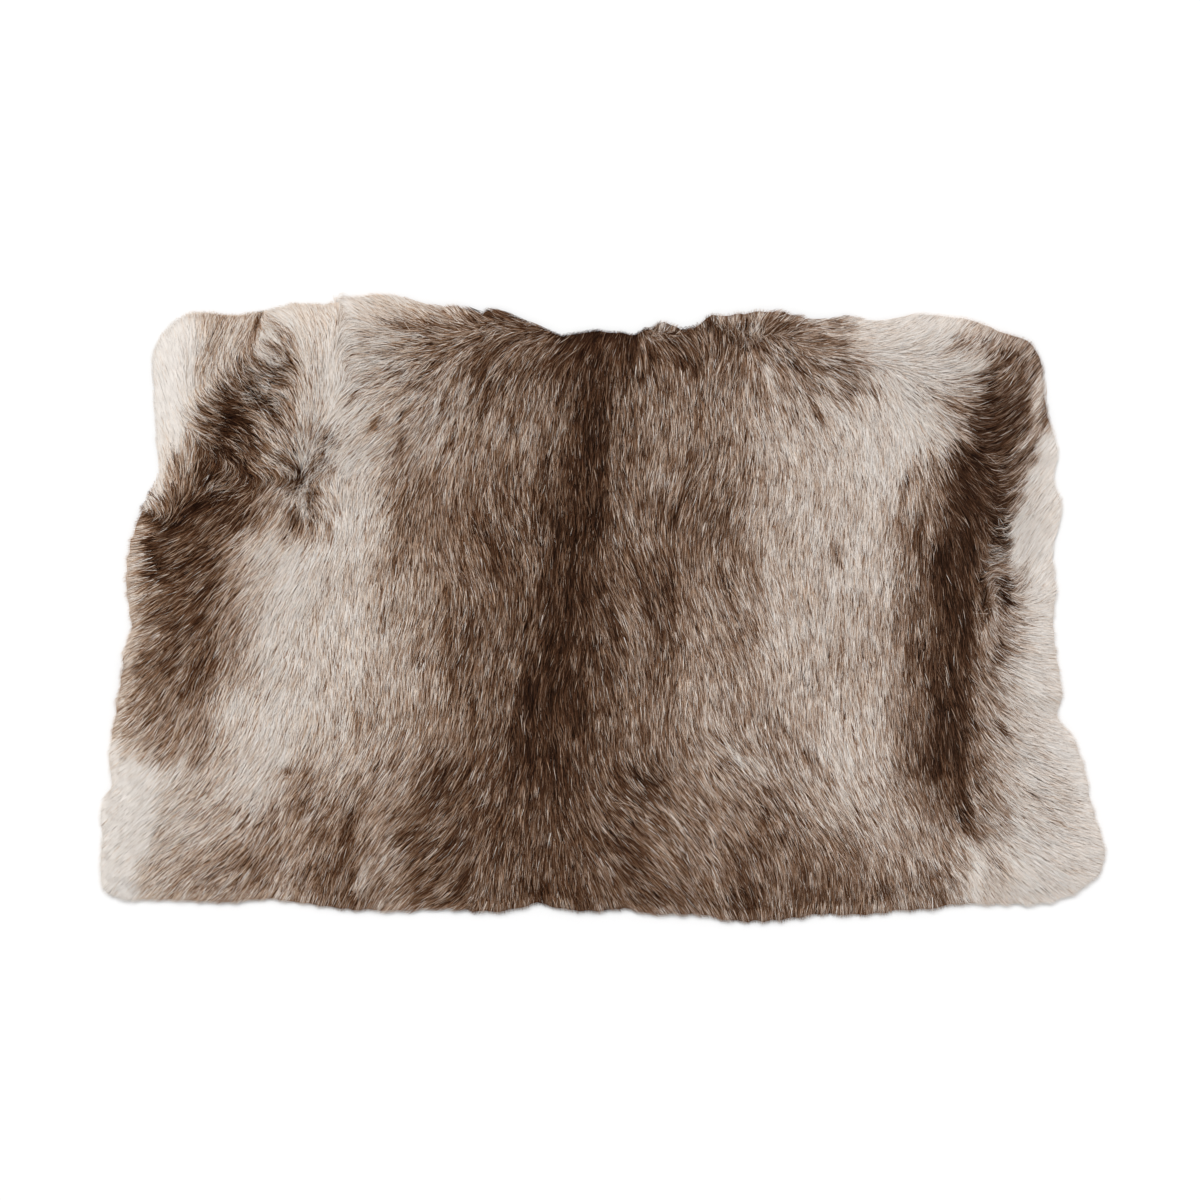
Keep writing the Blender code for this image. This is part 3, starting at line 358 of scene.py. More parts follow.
STREAKS = tuple(Streak(*row) for row in (
    # left shoulder; its darkest streaks are painted shade in the fold's pits and creases as well as dark
    # hair
    (172, 340, 170, 440, 11, .96), (192, 330, 190, 400, 6, .91), (206, 338, 203, 392, 6, .73),
    (220, 322, 214, 362, 6, .62), (238, 320, 232, 345, 7, .72), (261, 318, 255, 342, 4, .35),
    (269, 316, 265, 338, 4, .80), (254, 345, 249, 362, 3, .44), (246, 366, 238, 380, 5, .32),
    (233, 388, 226, 402, 6, .22), (228, 362, 210, 388, 6, .63), (216, 384, 204, 404, 5, .72),
    (238, 398, 230, 424, 9, .08), (208, 412, 218, 424, 6, .42), (196, 405, 192, 428, 6, .80),
    (203, 424, 212, 436, 5, .48), (222, 436, 236, 446, 8, .20), (222, 456, 230, 458, 5, .00),
    (206, 446, 212, 468, 7, .30), (193, 440, 190, 468, 6, .58), (187, 474, 184, 498, 5, .42),
    (172, 470, 172, 492, 6, .62), (205, 476, 222, 488, 6, .26), (194, 504, 228, 500, 4, .02),
    (240, 458, 246, 474, 7, .17), (224, 468, 228, 486, 6, .26), (250, 432, 259, 462, 7, .14),
    (270, 428, 282, 450, 8, .56), (286, 456, 292, 470, 6, .45), (270, 460, 272, 485, 6, .43),
    (301, 476, 302, 485, 4, .12), (308, 490, 315, 498, 5, .18), (286, 497, 297, 499, 4, .54),
    (312, 508, 318, 520, 6, .42), (296, 514, 300, 526, 5, .20), (328, 436, 322, 456, 3, .46),
    (318, 466, 315, 484, 6, .36), (306, 390, 308, 466, 7, .70), (310, 330, 312, 372, 8, .78),
    (334, 340, 335, 420, 8, .88), (282, 330, 292, 342, 7, .60), (278, 352, 296, 358, 6, .60),
    (292, 354, 294, 368, 3, .36), (278, 371, 294, 371, 4, .04), (266, 345, 264, 362, 4, .70),
    (262, 384, 284, 384, 4, .24), (290, 378, 297, 380, 4, .66), (248, 402, 278, 412, 8, .27),
    (255, 378, 254, 394, 5, .22), (290, 385, 288, 430, 4, .56), (156, 508, 166, 512, 4, .52),
    (147, 506, 154, 494, 5, .92), (166, 524, 171, 528, 4, .06), (190, 516, 250, 520, 7, .24),
    (170, 438, 160, 490, 7, .88), (324, 455, 332, 444, 3, .52),
    # neck
    (345, 295, 345, 345, 5, .88), (385, 325, 430, 330, 6, .47), (440, 362, 402, 393, 3, .42),
    (483, 378, 478, 390, 3, .28), (512, 362, 503, 395, 4, .23), (492, 355, 482, 375, 4, .40),
    (358, 396, 350, 402, 3, .50), (380, 420, 370, 430, 4, .48), (400, 432, 402, 462, 5, .45),
    (452, 425, 455, 440, 4, .45), (595, 372, 591, 520, 14, .14), (620, 365, 622, 480, 4, .29),
    (655, 355, 642, 385, 5, .18), (660, 362, 663, 440, 5, .38), (672, 378, 688, 408, 5, .46),
    (648, 445, 641, 515, 6, .39), (656, 328, 688, 329, 6, .15), (470, 328, 480, 345, 6, .34),
    (465, 310, 475, 325, 3, .35), (700, 398, 684, 500, 5, .40), (746, 470, 742, 505, 6, .44),
    (372, 505, 375, 535, 5, .74), (768, 400, 766, 418, 4, .55), (768, 372, 772, 396, 6, .71),
    # the second and third streaks on the next line, from (775, 345) to (820, 425), are a painted shadow
    # line under a tuft
    (404, 399, 424, 403, 6, .60), (775, 345, 800, 375, 6, .32), (800, 378, 820, 425, 4, .41),
    (850, 393, 858, 397, 5, .26), (826, 399, 880, 400, 4, .50), (842, 362, 855, 372, 4, .44),
    (815, 338, 848, 346, 4, .42), (725, 362, 722, 385, 3, .42), (738, 350, 735, 386, 5, .42),
    (715, 482, 702, 518, 5, .40), (716, 520, 712, 548, 6, .39), (726, 492, 728, 556, 8, .42),
    (448, 676, 442, 706, 6, .50), (418, 672, 416, 700, 6, .67), (678, 505, 668, 535, 4, .28),
    # right shoulder
    (905, 325, 955, 325, 9, .86), (960, 336, 968, 346, 5, .57), (946, 352, 958, 346, 3, .54),
    (928, 400, 924, 438, 10, .74), (935, 364, 975, 366, 7, .80), (990, 340, 993, 366, 6, .45),
    (1008, 338, 1028, 350, 5, .62), (966, 322, 1000, 332, 4, .72), (1014, 364, 1020, 400, 9, .37),
    (1039, 385, 1036, 424, 5, .68), (989, 374, 990, 400, 6, .26), (945, 405, 956, 411, 3, .52),
    (980, 415, 987, 424, 6, .26), (1010, 426, 1022, 408, 6, .26), (1034, 410, 1030, 440, 4, .58),
    (975, 432, 982, 446, 6, .12), (992, 430, 996, 444, 6, .20), (1008, 434, 1014, 440, 5, .24),
    (1025, 436, 1020, 470, 5, .52), (950, 434, 938, 455, 6, .66), (960, 446, 970, 458, 5, .23),
    (974, 382, 966, 402, 6, .58), (981, 450, 986, 470, 8, .02), (996, 458, 1006, 466, 5, .18),
    (1018, 455, 1014, 478, 5, .42), (996, 478, 998, 500, 6, .09), (1009, 482, 1007, 500, 4, .34),
    (962, 468, 972, 500, 9, .18), (932, 462, 938, 500, 7, .44), (912, 466, 914, 500, 7, .56),
    (905, 482, 900, 525, 5, .49), (1048, 440, 1044, 490, 7, .87), (1034, 470, 1030, 500, 6, .85),
    # left flank
    (195, 510, 235, 492, 4, .12), (160, 520, 172, 530, 7, .18), (148, 545, 154, 575, 6, .10),
    (165, 492, 182, 508, 9, .36), (130, 560, 128, 665, 3, .75), (290, 560, 285, 590, 11, .84),
    (335, 515, 345, 535, 8, .78), (326, 562, 332, 600, 6, .74), (320, 600, 316, 640, 6, .73),
    (328, 645, 328, 700, 7, .67), (132, 655, 128, 700, 4, .74), (330, 525, 333, 540, 3, .54),
    (185, 640, 188, 690, 8, .37), (215, 560, 200, 600, 8, .31), (350, 575, 355, 600, 8, .66),
    # back
    (395, 515, 392, 540, 4, .46), (405, 500, 418, 545, 6, .41), (408, 550, 412, 562, 5, .35),
    (500, 500, 507, 522, 7, .27), (490, 545, 498, 575, 6, .31), (530, 560, 528, 600, 7, .38),
    (585, 510, 568, 570, 12, .13), (568, 560, 563, 700, 13, .14), (553, 640, 550, 700, 6, .10),
    (620, 500, 622, 600, 5, .34), (485, 605, 487, 625, 3, .30), (455, 640, 450, 690, 5, .38),
    (438, 600, 430, 700, 6, .54), (488, 640, 488, 680, 5, .35), (515, 640, 512, 660, 3, .28),
    (400, 650, 410, 680, 8, .62), (370, 690, 371, 692, 4, .52), (672, 570, 670, 640, 4, .30),
    (665, 640, 665, 670, 6, .34), (722, 560, 730, 600, 6, .42), (730, 600, 741, 630, 3, .42),
    (751, 620, 755, 650, 4, .48), (745, 660, 748, 680, 4, .50), (832, 548, 834, 562, 4, .45),
    (660, 510, 655, 540, 5, .32),
    # right flank; its darkest streaks in the curls are painted shade in creases as well as dark hair
    (955, 500, 950, 620, 12, .18), (940, 560, 946, 602, 7, .12), (968, 500, 968, 560, 7, .13),
    (982, 562, 983, 604, 5, .28), (992, 566, 992, 602, 4, .54), (1002, 518, 1003, 545, 6, .06),
    (1000, 548, 1002, 562, 5, .26), (998, 570, 1008, 573, 3, .48), (1004, 582, 1006, 604, 5, .06),
    (996, 608, 994, 640, 4, .67), (1006, 610, 1007, 628, 4, .46), (1000, 646, 997, 664, 5, .26),
    (1011, 644, 1012, 656, 5, .56), (991, 668, 986, 698, 6, .49), (912, 562, 914, 590, 5, .50),
    (1018, 588, 1026, 580, 3, .46), (1016, 618, 1030, 624, 4, .64), (1021, 508, 1019, 562, 5, .88),
    (1038, 500, 1038, 690, 9, .87),
    # rump, left of the spine
    (165, 702, 165, 735, 7, .48), (118, 705, 121, 728, 4, .68), (160, 745, 168, 760, 6, .55),
    (110, 750, 108, 790, 9, .90), (130, 775, 120, 885, 12, .95), (232, 705, 236, 780, 6, .78),
    (255, 712, 252, 770, 9, .82), (275, 745, 285, 760, 8, .84), (240, 727, 260, 732, 5, .80),
    (357, 712, 361, 744, 4, .52), (343, 720, 345, 740, 5, .76), (308, 775, 298, 810, 9, .48),
    (251, 797, 254, 830, 3, .62), (245, 808, 247, 825, 3, .48), (332, 835, 322, 898, 8, .38),
    (353, 810, 345, 838, 3, .22), (225, 872, 252, 858, 4, .44), (366, 860, 360, 895, 5, .63),
    (340, 875, 336, 900, 5, .38), (245, 860, 265, 885, 7, .44), (185, 765, 178, 790, 6, .74),
    (148, 778, 140, 850, 10, .93), (440, 765, 430, 800, 8, .29), (495, 765, 500, 800, 8, .32),
    (537, 700, 538, 755, 12, .13), (527, 757, 532, 775, 8, .14), (561, 712, 566, 748, 3, .26),
    (588, 740, 590, 770, 6, .23), (588, 783, 590, 793, 4, .38), (468, 870, 456, 890, 5, .20),
    (385, 785, 372, 825, 8, .58), (419, 745, 400, 790, 7, .55), (400, 840, 440, 850, 9, .30),
    (485, 855, 490, 895, 7, .38), (360, 775, 356, 800, 4, .46),
    # rump, right of the spine
    (600, 800, 622, 850, 6, .32), (636, 774, 652, 784, 5, .15), (655, 795, 672, 803, 6, .32),
    (736, 756, 762, 774, 6, .66), (727, 778, 752, 794, 4, .48), (685, 742, 698, 764, 7, .45),
    (767, 790, 795, 820, 5, .40), (795, 745, 835, 785, 6, .52), (845, 760, 842, 790, 8, .74),
    (712, 835, 715, 860, 5, .54), (730, 840, 742, 880, 6, .33), (748, 890, 756, 910, 6, .30),
    (612, 842, 640, 868, 6, .28), (640, 882, 660, 895, 6, .32), (703, 895, 712, 905, 5, .42),
    (779, 895, 785, 912, 3, .50), (836, 893, 838, 906, 3, .50), (870, 895, 885, 888, 6, .36),
    (775, 840, 790, 838, 7, .36), (650, 840, 670, 860, 6, .42), (936, 700, 940, 770, 10, .20),
    (956, 705, 958, 772, 7, .16), (945, 785, 965, 800, 8, .26), (975, 800, 985, 828, 6, .54),
    (1008, 796, 1016, 812, 5, .72), (1000, 726, 1005, 734, 4, .30), (1025, 790, 1050, 810, 3, .60),
    (1052, 815, 1066, 826, 3, .68), (995, 862, 1008, 882, 4, .62), (1065, 745, 1082, 785, 9, .88),
    (978, 860, 976, 895, 6, .84), (899, 862, 906, 885, 4, .40), (887, 700, 889, 722, 4, .48),
))


# Properties

def shade(red, green, blue):
    """A display colour's three bytes as the linear shares that shaders use."""
    shares = np.array([red, green, blue]) / 255.0
    bent = np.where(shares <= 0.04045, shares / 12.92, ((shares + 0.055) / 1.055)**2.4)
    return tuple(float(x) for x in bent)


def colour_property(name, description, default):
    return bpy.props.FloatVectorProperty(name=name, description=description, default=default,
                                         subtype="COLOR", size=3, min=0.0, max=1.0)


def length_property(name, description, default):
    return bpy.props.FloatProperty(name=name, description=description, default=default,
                                   unit="LENGTH", min=0.0)


def share_property(name, description, default):
    return bpy.props.FloatProperty(name=name, description=description, default=default,
                                   subtype="FACTOR", min=0.0, max=2.0)


class HideBodySettings(bpy.types.PropertyGroup):
    """Sizes of the skin and the underfur."""

    skin_depth: length_property("Skin depth", "Thickness of the tanned skin", 0.0018)
    skin_inset: length_property("Skin inset", "How far the skin ends inside the hair's tips", 0.009)
    underfur_inset: length_property("Underfur inset", "How far the underfur ends inside the rim", 0.0006)
    underfur_share: share_property("Underfur share", "The underfur's height over that of the coat", 0.80)
    wool_relief: length_property("Wool relief", "Height of the underfur's small lumps", 0.0012)


class HideCoatSettings(bpy.types.PropertyGroup):
    """Numbers and sizes of the guard hair."""

    hairs: bpy.props.IntProperty(name="Hairs", description="Guard hairs in all bands together",
                                 default=450000, min=1000)
    hair_length: length_property("Hair length", "Mean visible length of a guard hair", 0.023)
    hair_width: length_property("Hair width", "Width of a guard hair's widest part", 0.00060)
    lock_width: length_property("Lock width", "Width of the small locks that the hair gathers in", 0.0036)
    tuft_width: length_property("Tuft width", "Width of the larger tufts", 0.017)
    lock_pull: share_property("Lock pull", "How far tips are drawn to the middle of their lock", 0.55)
    root_share: share_property("Root share", "Height of the roots over that of the coat", 0.58)
    stray_share: share_property("Stray share", "Share of the hairs that stray from their lock", 0.03)
    seed: bpy.props.IntProperty(name="Seed", description="Start of the random draws", default=11)


class HideColourSettings(bpy.types.PropertyGroup):
    """Colours of the hair, from the darkest to the palest, and of the skin."""

    umber: colour_property("Umber", "Darkest hair, along the spine", shade(23, 9, 2))
    bark: colour_property("Bark", "Dark brown hair", shade(56, 33, 19))
    brown: colour_property("Brown", "Brown hair", shade(76, 47, 28))
    taupe: colour_property("Taupe", "Middle hair, a pinkish grey-brown", shade(116, 83, 60))
    fawn: colour_property("Fawn", "Light hair", shade(170, 140, 116))
    sand: colour_property("Sand", "Pale hair", shade(223, 208, 194))
    cream: colour_property("Cream", "Palest hair, at the hide's margins", shade(225, 219, 213))
    suede: colour_property("Suede", "Flesh side of the skin", shade(206, 190, 168))


class HideStageSettings(bpy.types.PropertyGroup):
    """The studio: camera, floor and light."""

    lens: bpy.props.FloatProperty(name="Lens", description="Focal length in millimetres", default=85.0)
    frame_width: length_property("Frame width", "What the camera sees across at the floor", 1.32)
    key_light: bpy.props.FloatProperty(name="Key light", description="Strength of the large lamp",
                                       default=2.4, min=0.0)
    fill_light: bpy.props.FloatProperty(name="Fill light", description="Strength of the light all round",
                                        default=0.62, min=0.0)
    floor: colour_property("Floor", "Colour of the plain floor", (0.82, 0.82, 0.82))


# Fields over the plan

FIELD_STEP = 0.002
FIELD_MARGIN = 0.045
FIELD_LOW = LOW[:2] - FIELD_MARGIN
FIELD_SHAPE = tuple(int(n) for n in np.ceil((HIGH[:2] - LOW[:2] + 2 * FIELD_MARGIN) / FIELD_STEP) + 1)
LAST_NODE = 1.001               # a spot stays this far before the end of a field, so that a node follows it
NEIGHBOURS = [(i, j) for i in (-1, 0, 1) for j in (-1, 0, 1)]

TINY = 1e-9                     # keeps a vector of no length from being divided by zero
LEVEL_LIMIT = 1e-5              # corners of the solid this near to the floor are on its underside
MERGE_DIGITS = 6                # its corners that agree to this many decimals are one

UNDERFUR_STEPS = 4              # field steps each way over which the underfur's height is taken
FAR_PULL = 1e-12                # how weakly readings of the combing pull far away
FAR_PATCH = 1e-4                # how weakly patches of tone do
PATCH_SOFTNESS = 8.0            # chart units over which patches run into each other
STREAK_SOFTNESS = 0.6           # share of a streak's own reach

DRIFT_SEED = 23
DRIFT_BLUR = 0.8                # weight of the noise's neighbours on each side
DRIFT_STEP = 0.003              # metres between the places that a drift is averaged over
DRIFT_STEPS = 10                # how many of them there are each way

SWELL_MARGIN = 0.1              # how far the squares of the swells go on round the hide's box
LOCK_MARGIN = 0.05              # and those of the locks and tufts


def on_hide(chart_places):
    """Places of the chart in metres on the hide.

    They are shifted to the hide's middle and scaled, with down on the chart as -Y.
    """
    places = np.asarray(chart_places, dtype=float)
    return (places - CHART_MIDDLE) * (CHART_UNIT, -CHART_UNIT)


def on_chart(places):
    """Places of the hide, in metres, as places of the chart."""
    return places / (CHART_UNIT, -CHART_UNIT) + CHART_MIDDLE


def field_places():
    """The plan places of the field's nodes, as rows."""
    across = FIELD_LOW[0] + FIELD_STEP * np.arange(FIELD_SHAPE[0])
    along = FIELD_LOW[1] + FIELD_STEP * np.arange(FIELD_SHAPE[1])
    return np.stack(np.meshgrid(across, along, indexing="ij"), axis=-1).reshape(-1, 2)


def squares_over(margin, size):
    """How many squares of a size cover the hide's box and a margin round it, with three to spare."""
    return tuple(int(n) for n in np.ceil((HIGH[:2] - LOW[:2] + 2 * margin) / size) + 3)


def blend(values, node_at, share):
    """The mean of the four values round each spot, weighted by closeness on each axis."""
    i, j = node_at[:, 0], node_at[:, 1]
    u, v = share[:, 0], share[:, 1]
    if values.ndim == 3:
        u, v = u[:, None], v[:, None]
    return ((1 - u) * (1 - v) * values[i, j] + u * (1 - v) * values[i + 1, j]
            + (1 - u) * v * values[i, j + 1] + u * v * values[i + 1, j + 1])


def read_field(field, places):
    """A field's value at any places, blended from the four nodes round each."""
    spot = np.clip((places - FIELD_LOW) / FIELD_STEP, 0, np.array(FIELD_SHAPE) - LAST_NODE)
    node_at = spot.astype(int)
    return blend(field, node_at, spot - node_at)


def soft_step(x):
    """Zero below 0, one above 1, and a smooth rise between."""
    x = np.clip(x, 0.0, 1.0)
    return x * x * (3.0 - 2.0 * x)


def swells(places, size, chance):
    """Smooth noise from -1 to 1.

    Random heights stand on a lattice of that size and are blended by soft steps between them.
    """
    lattice = chance.uniform(-1, 1, squares_over(SWELL_MARGIN, size))
    spot = (places - LOW[:2] + SWELL_MARGIN) / size
    spot = np.clip(spot, 0, np.array(lattice.shape) - LAST_NODE)
    node_at = spot.astype(int)
    return blend(lattice, node_at, soft_step(spot - node_at))


def unit(vectors, least=0.0):
    """Vectors scaled to a length of 1. What least adds to their lengths keeps these above zero."""
    return vectors / (np.linalg.norm(vectors, axis=-1)[..., None] + least)


def frame_mesh():
    """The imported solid's corners and triangles, with corners at the same place merged."""
    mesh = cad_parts["hide"].data
    corners = np.empty(len(mesh.vertices) * 3)
    mesh.vertices.foreach_get("co", corners)
    mesh.calc_loop_triangles()
    triangles = np.empty(len(mesh.loop_triangles) * 3, dtype=int)
    mesh.loop_triangles.foreach_get("vertices", triangles)
    rounded = np.round(corners.reshape(-1, 3), MERGE_DIGITS)
    kept, merged = np.unique(rounded, axis=0, return_inverse=True)
    return kept, merged.ravel()[triangles].reshape(-1, 3)


def frame_rim(corners, triangles):
    """The solid's rim from above, as one counter-clockwise loop of plan places.

    It is the border of the level underside: the sides that only one of its triangles has.
    """
    level = (np.abs(corners[triangles, 2]) < LEVEL_LIMIT).all(axis=1)
    sides = np.vstack([triangles[level][:, pair] for pair in ((0, 1), (1, 2), (2, 0))])
    known = set(map(tuple, sides.tolist()))
    after = {b: a for a, b in known if (b, a) not in known}
    loop = [min(after)]
    while after[loop[-1]] != loop[0]:
        loop.append(after[loop[-1]])
    return corners[loop, :2]


def rim_distance(places, rim):
    """How far each place is inside the rim, or outside it where less than zero.

    The length is to the nearest leg of the rim; the sign comes from counting the legs crossed.
    """
    nearest = np.full(len(places), np.inf)
    inside = np.zeros(len(places), dtype=bool)
    for start, end in zip(rim, np.roll(rim, -1, axis=0)):
        leg = end - start
        share = np.clip(((places - start) @ leg) / (leg @ leg), 0.0, 1.0)
        off = places - start - share[:, None] * leg
        nearest = np.minimum(nearest, (off**2).sum(axis=1))
        if leg[1]:
            spans = (start[1] > places[:, 1]) != (end[1] > places[:, 1])
            inside ^= spans & (places[:, 0] < start[0] + (places[:, 1] - start[1]) * leg[0] / leg[1])
    return np.where(inside, 1.0, -1.0) * np.sqrt(nearest)


def spread_outward(field, known):
    """Fills a field's unknown nodes ring by ring, each with the mean of its known neighbours."""
    field, known = np.where(known, field, 0.0), known.copy()
    steps = [step for step in NEIGHBOURS if step != (0, 0)]
    while not known.all():
        total = sum(np.roll(field * known, step, axis=(0, 1)) for step in steps)
        count = sum(np.roll(known, step, axis=(0, 1)).astype(int) for step in steps)
        fresh = ~known & (count > 0)
        field[fresh] = total[fresh] / count[fresh]
        known |= fresh
    return field


def bells(row):
    """Over the field's nodes, a bell of the distance to a row's place: 1 at the place itself."""
    places = on_chart(field_places())
    square = (places[:, 0] - row.across)**2 + (places[:, 1] - row.down)**2
    return np.exp(-square / (2 * row.reach**2)).reshape(FIELD_SHAPE)


@lru_cache(maxsize=None)
def ruffle_field():
    """How ruffled the hair is over the plan, from 0 to 1: the most that any bell of the table gives."""
    return np.max([row.amount * bells(row) for row in RUFFLES], axis=0)


@lru_cache(maxsize=None)
def fringe_field():
    """How much further out the tips reach than elsewhere: the sum of the table's bells, in metres."""
    return CHART_UNIT * np.sum([row.further * bells(row) for row in FRINGES], axis=0)


@lru_cache(maxsize=None)
def coat_fields():
    """The distance inside the rim and the coat's height, both as fields.

    The distance is to the solid's rim, with the fringe added. The height is where a straight fall
    onto the solid lands, and outside the rim it carries on from the nearest nodes inside.
    """
    corners, triangles = frame_mesh()
    tree = BVHTree.FromPolygons(corners.tolist(), triangles.tolist())
    places = field_places()
    inset = rim_distance(places, frame_rim(corners, triangles)).reshape(FIELD_SHAPE)
    down = Vector((0.0, 0.0, -1.0))
    falls = [tree.ray_cast(Vector((x, y, 1.0)), down)[0] for x, y in places.tolist()]
    height = np.array([-1.0 if fall is None else fall.z for fall in falls]).reshape(FIELD_SHAPE)
    return inset + fringe_field(), spread_outward(height, (height > 0.0) & (inset > 0.0))


def underfur_height():
    """The height under which the underfur stays.

    It is the coat's lowest height within a few steps each way, and is then evened out as far.
    """
    height = coat_fields()[1]
    for _ in range(UNDERFUR_STEPS):
        height = np.min([np.roll(height, step, axis=(0, 1)) for step in NEIGHBOURS], axis=0)
    for _ in range(UNDERFUR_STEPS):
        height = np.mean([np.roll(height, step, axis=(0, 1)) for step in NEIGHBOURS], axis=0)
    return height


@lru_cache(maxsize=None)
def lay_field():
    """The hair's heading over the plan, as a field of unit vectors.

    Each reading of the combing chart pulls with a bell of the distance to it, narrow readings
    harder than wide ones; far from all readings a weak pull by inverse distance takes over.
    """
    places = field_places()
    pull = np.zeros((len(places), 2))
    for combing in COMBING:
        rows = np.array(combing.places, dtype=float)
        reach = combing.reach * CHART_UNIT
        for spot, heading in zip(on_hide(rows[:, :2]), np.radians(rows[:, 2])):
            square = ((places - spot)**2).sum(axis=1)
            near = np.exp(-square / (2 * reach**2)) / combing.reach**2
            weight = near + FAR_PULL / (square + reach**2)**2
            pull += weight[:, None] * (math.cos(heading), math.sin(heading))
    return unit(pull, FAR_PULL).reshape(FIELD_SHAPE + (2,))


@lru_cache(maxsize=None)
def tone_field():
    """The coat's tone over the plan, as a field.

    Patches: a mean of all tones, weighted by a bell of the distance outside each patch and by the
    inverse of the patch's size, so that small ones hold their own. Streaks are then laid over it,
    the widest first, each a rod with a soft edge.
    """
    places = on_chart(field_places())
    total, weights = np.zeros(len(places)), np.zeros(len(places))
    for patch in PATCHES:
        middle = np.array([patch.left + patch.right, patch.top + patch.bottom]) / 2
        half = np.array([patch.right - patch.left, patch.bottom - patch.top]) / 2
        off = np.hypot(*np.maximum(0, np.abs(places - middle) - half).T)
        size = 2 * math.sqrt(half[0] * half[1])
        weight = (np.exp(-(off / PATCH_SOFTNESS)**2 / 2) + FAR_PATCH / (1 + off)**2) / size
        total += weight * patch.tone
        weights += weight
    tone = total / weights
    for streak in sorted(STREAKS, key=lambda streak: -streak.half_width):
        start, leg = np.array(streak[:2]), np.subtract(streak[2:4], streak[:2])
        share = np.clip(((places - start) @ leg) / (leg @ leg), 0.0, 1.0)
        off = np.linalg.norm(places - start - share[:, None] * leg, axis=1) / streak.half_width
        cover = 1.0 - soft_step((off - 1.0 + STREAK_SOFTNESS) / (2 * STREAK_SOFTNESS))
        tone = tone * (1 - cover) + streak.tone * cover
    return tone.reshape(FIELD_SHAPE)


@lru_cache(maxsize=None)
def drift_field():
    """Streaks along the lay, as a field of tone changes with a mean of 0 and a spread of 1.

    Soft noise, averaged over steps up and down the lay from each node.
    """
    noise = np.random.default_rng(DRIFT_SEED).normal(0, 1, FIELD_SHAPE)
    for axis in (0, 1):
        noise = noise + DRIFT_BLUR * (np.roll(noise, 1, axis) + np.roll(noise, -1, axis))
    drift = noise.copy()
    for way in (-DRIFT_STEP, DRIFT_STEP):
        spots = field_places()
        for _ in range(DRIFT_STEPS):
            spots = spots + way * read_field(lay_field(), spots)
            drift += read_field(noise, spots).reshape(FIELD_SHAPE)
    return (drift - drift.mean()) / drift.std()


# Colours from tones

TONE_STOPS = (0.04, 0.26, 0.41, 0.54, 0.665, 0.80, 0.94)
TONE_NAMES = ("umber", "bark", "brown", "taupe", "fawn", "sand", "cream")
WARM_TINT = (0.045, -0.010, -0.095)   # what full warmth adds to each channel, as a share of it
WARM_TONES = (0.55, 0.90)             # between these tones warmth fades
PALE_WARMTH = 0.10                    # to this share of itself
RIM_PALING = 0.008                    # the hair pales over this last stretch before the rim
RIM_TONE_REACH = 0.002                # which for tips of hairs ends this far beyond the rim
PALING = 0.15                         # dark hair goes this share of the way
PALING_TONE = 0.85                    # to this tone


def hair_colours(tones, colours):
    """Linear colours for tones: straight blends between the named hair colours."""
    stops = np.array([getattr(colours, name) for name in TONE_NAMES])
    return np.column_stack([np.interp(tones, TONE_STOPS, channel) for channel in stops.T])


def warmth_at(places):
    """The coat's warmth, even across the hide from ruddy at the left flank to grey at the right one."""
    return np.clip(-places[:, 0] / HIGH[0], -1.0, 1.0)


def warmed(shades, tones, warmth):
    """Colours made ruddier by their warmth, or greyer where it is less than zero.

    Pale tones take on less of it.
    """
    warmth = warmth * np.interp(tones, WARM_TONES, (1.0, PALE_WARMTH))
    return shades * (1.0 + warmth[:, None] * np.array(WARM_TINT))


def paled(tones, rim_share):
    """Tones moved some of the way to the rim's pale one, as far as each place is at the rim."""
    return tones + PALING * rim_share * np.maximum(PALING_TONE - tones, 0.0)


# Shared shading

CLOUD_STOPS = (0.3, 0.7)        # where the suede's clouds set in and are full
CLOUD_SHADES = (0.78, 1.0)      # and the share of its colour that it has there


def node(tree, kind, place, inputs=(), **settings):
    """A shader node at a place of the tree, with its settings and the values of its inputs."""
    made = tree.nodes.new(kind)
    made.location = place
    for name, value in settings.items():
        setattr(made, name, value)
    for name, value in dict(inputs).items():
        made.inputs[name].default_value = value
    return made


def join(tree, *links):
    """Links, each from a node and its output to a node and its input."""
    for source, output, sink, into in links:
        tree.links.new(source.outputs[output], sink.inputs[into])


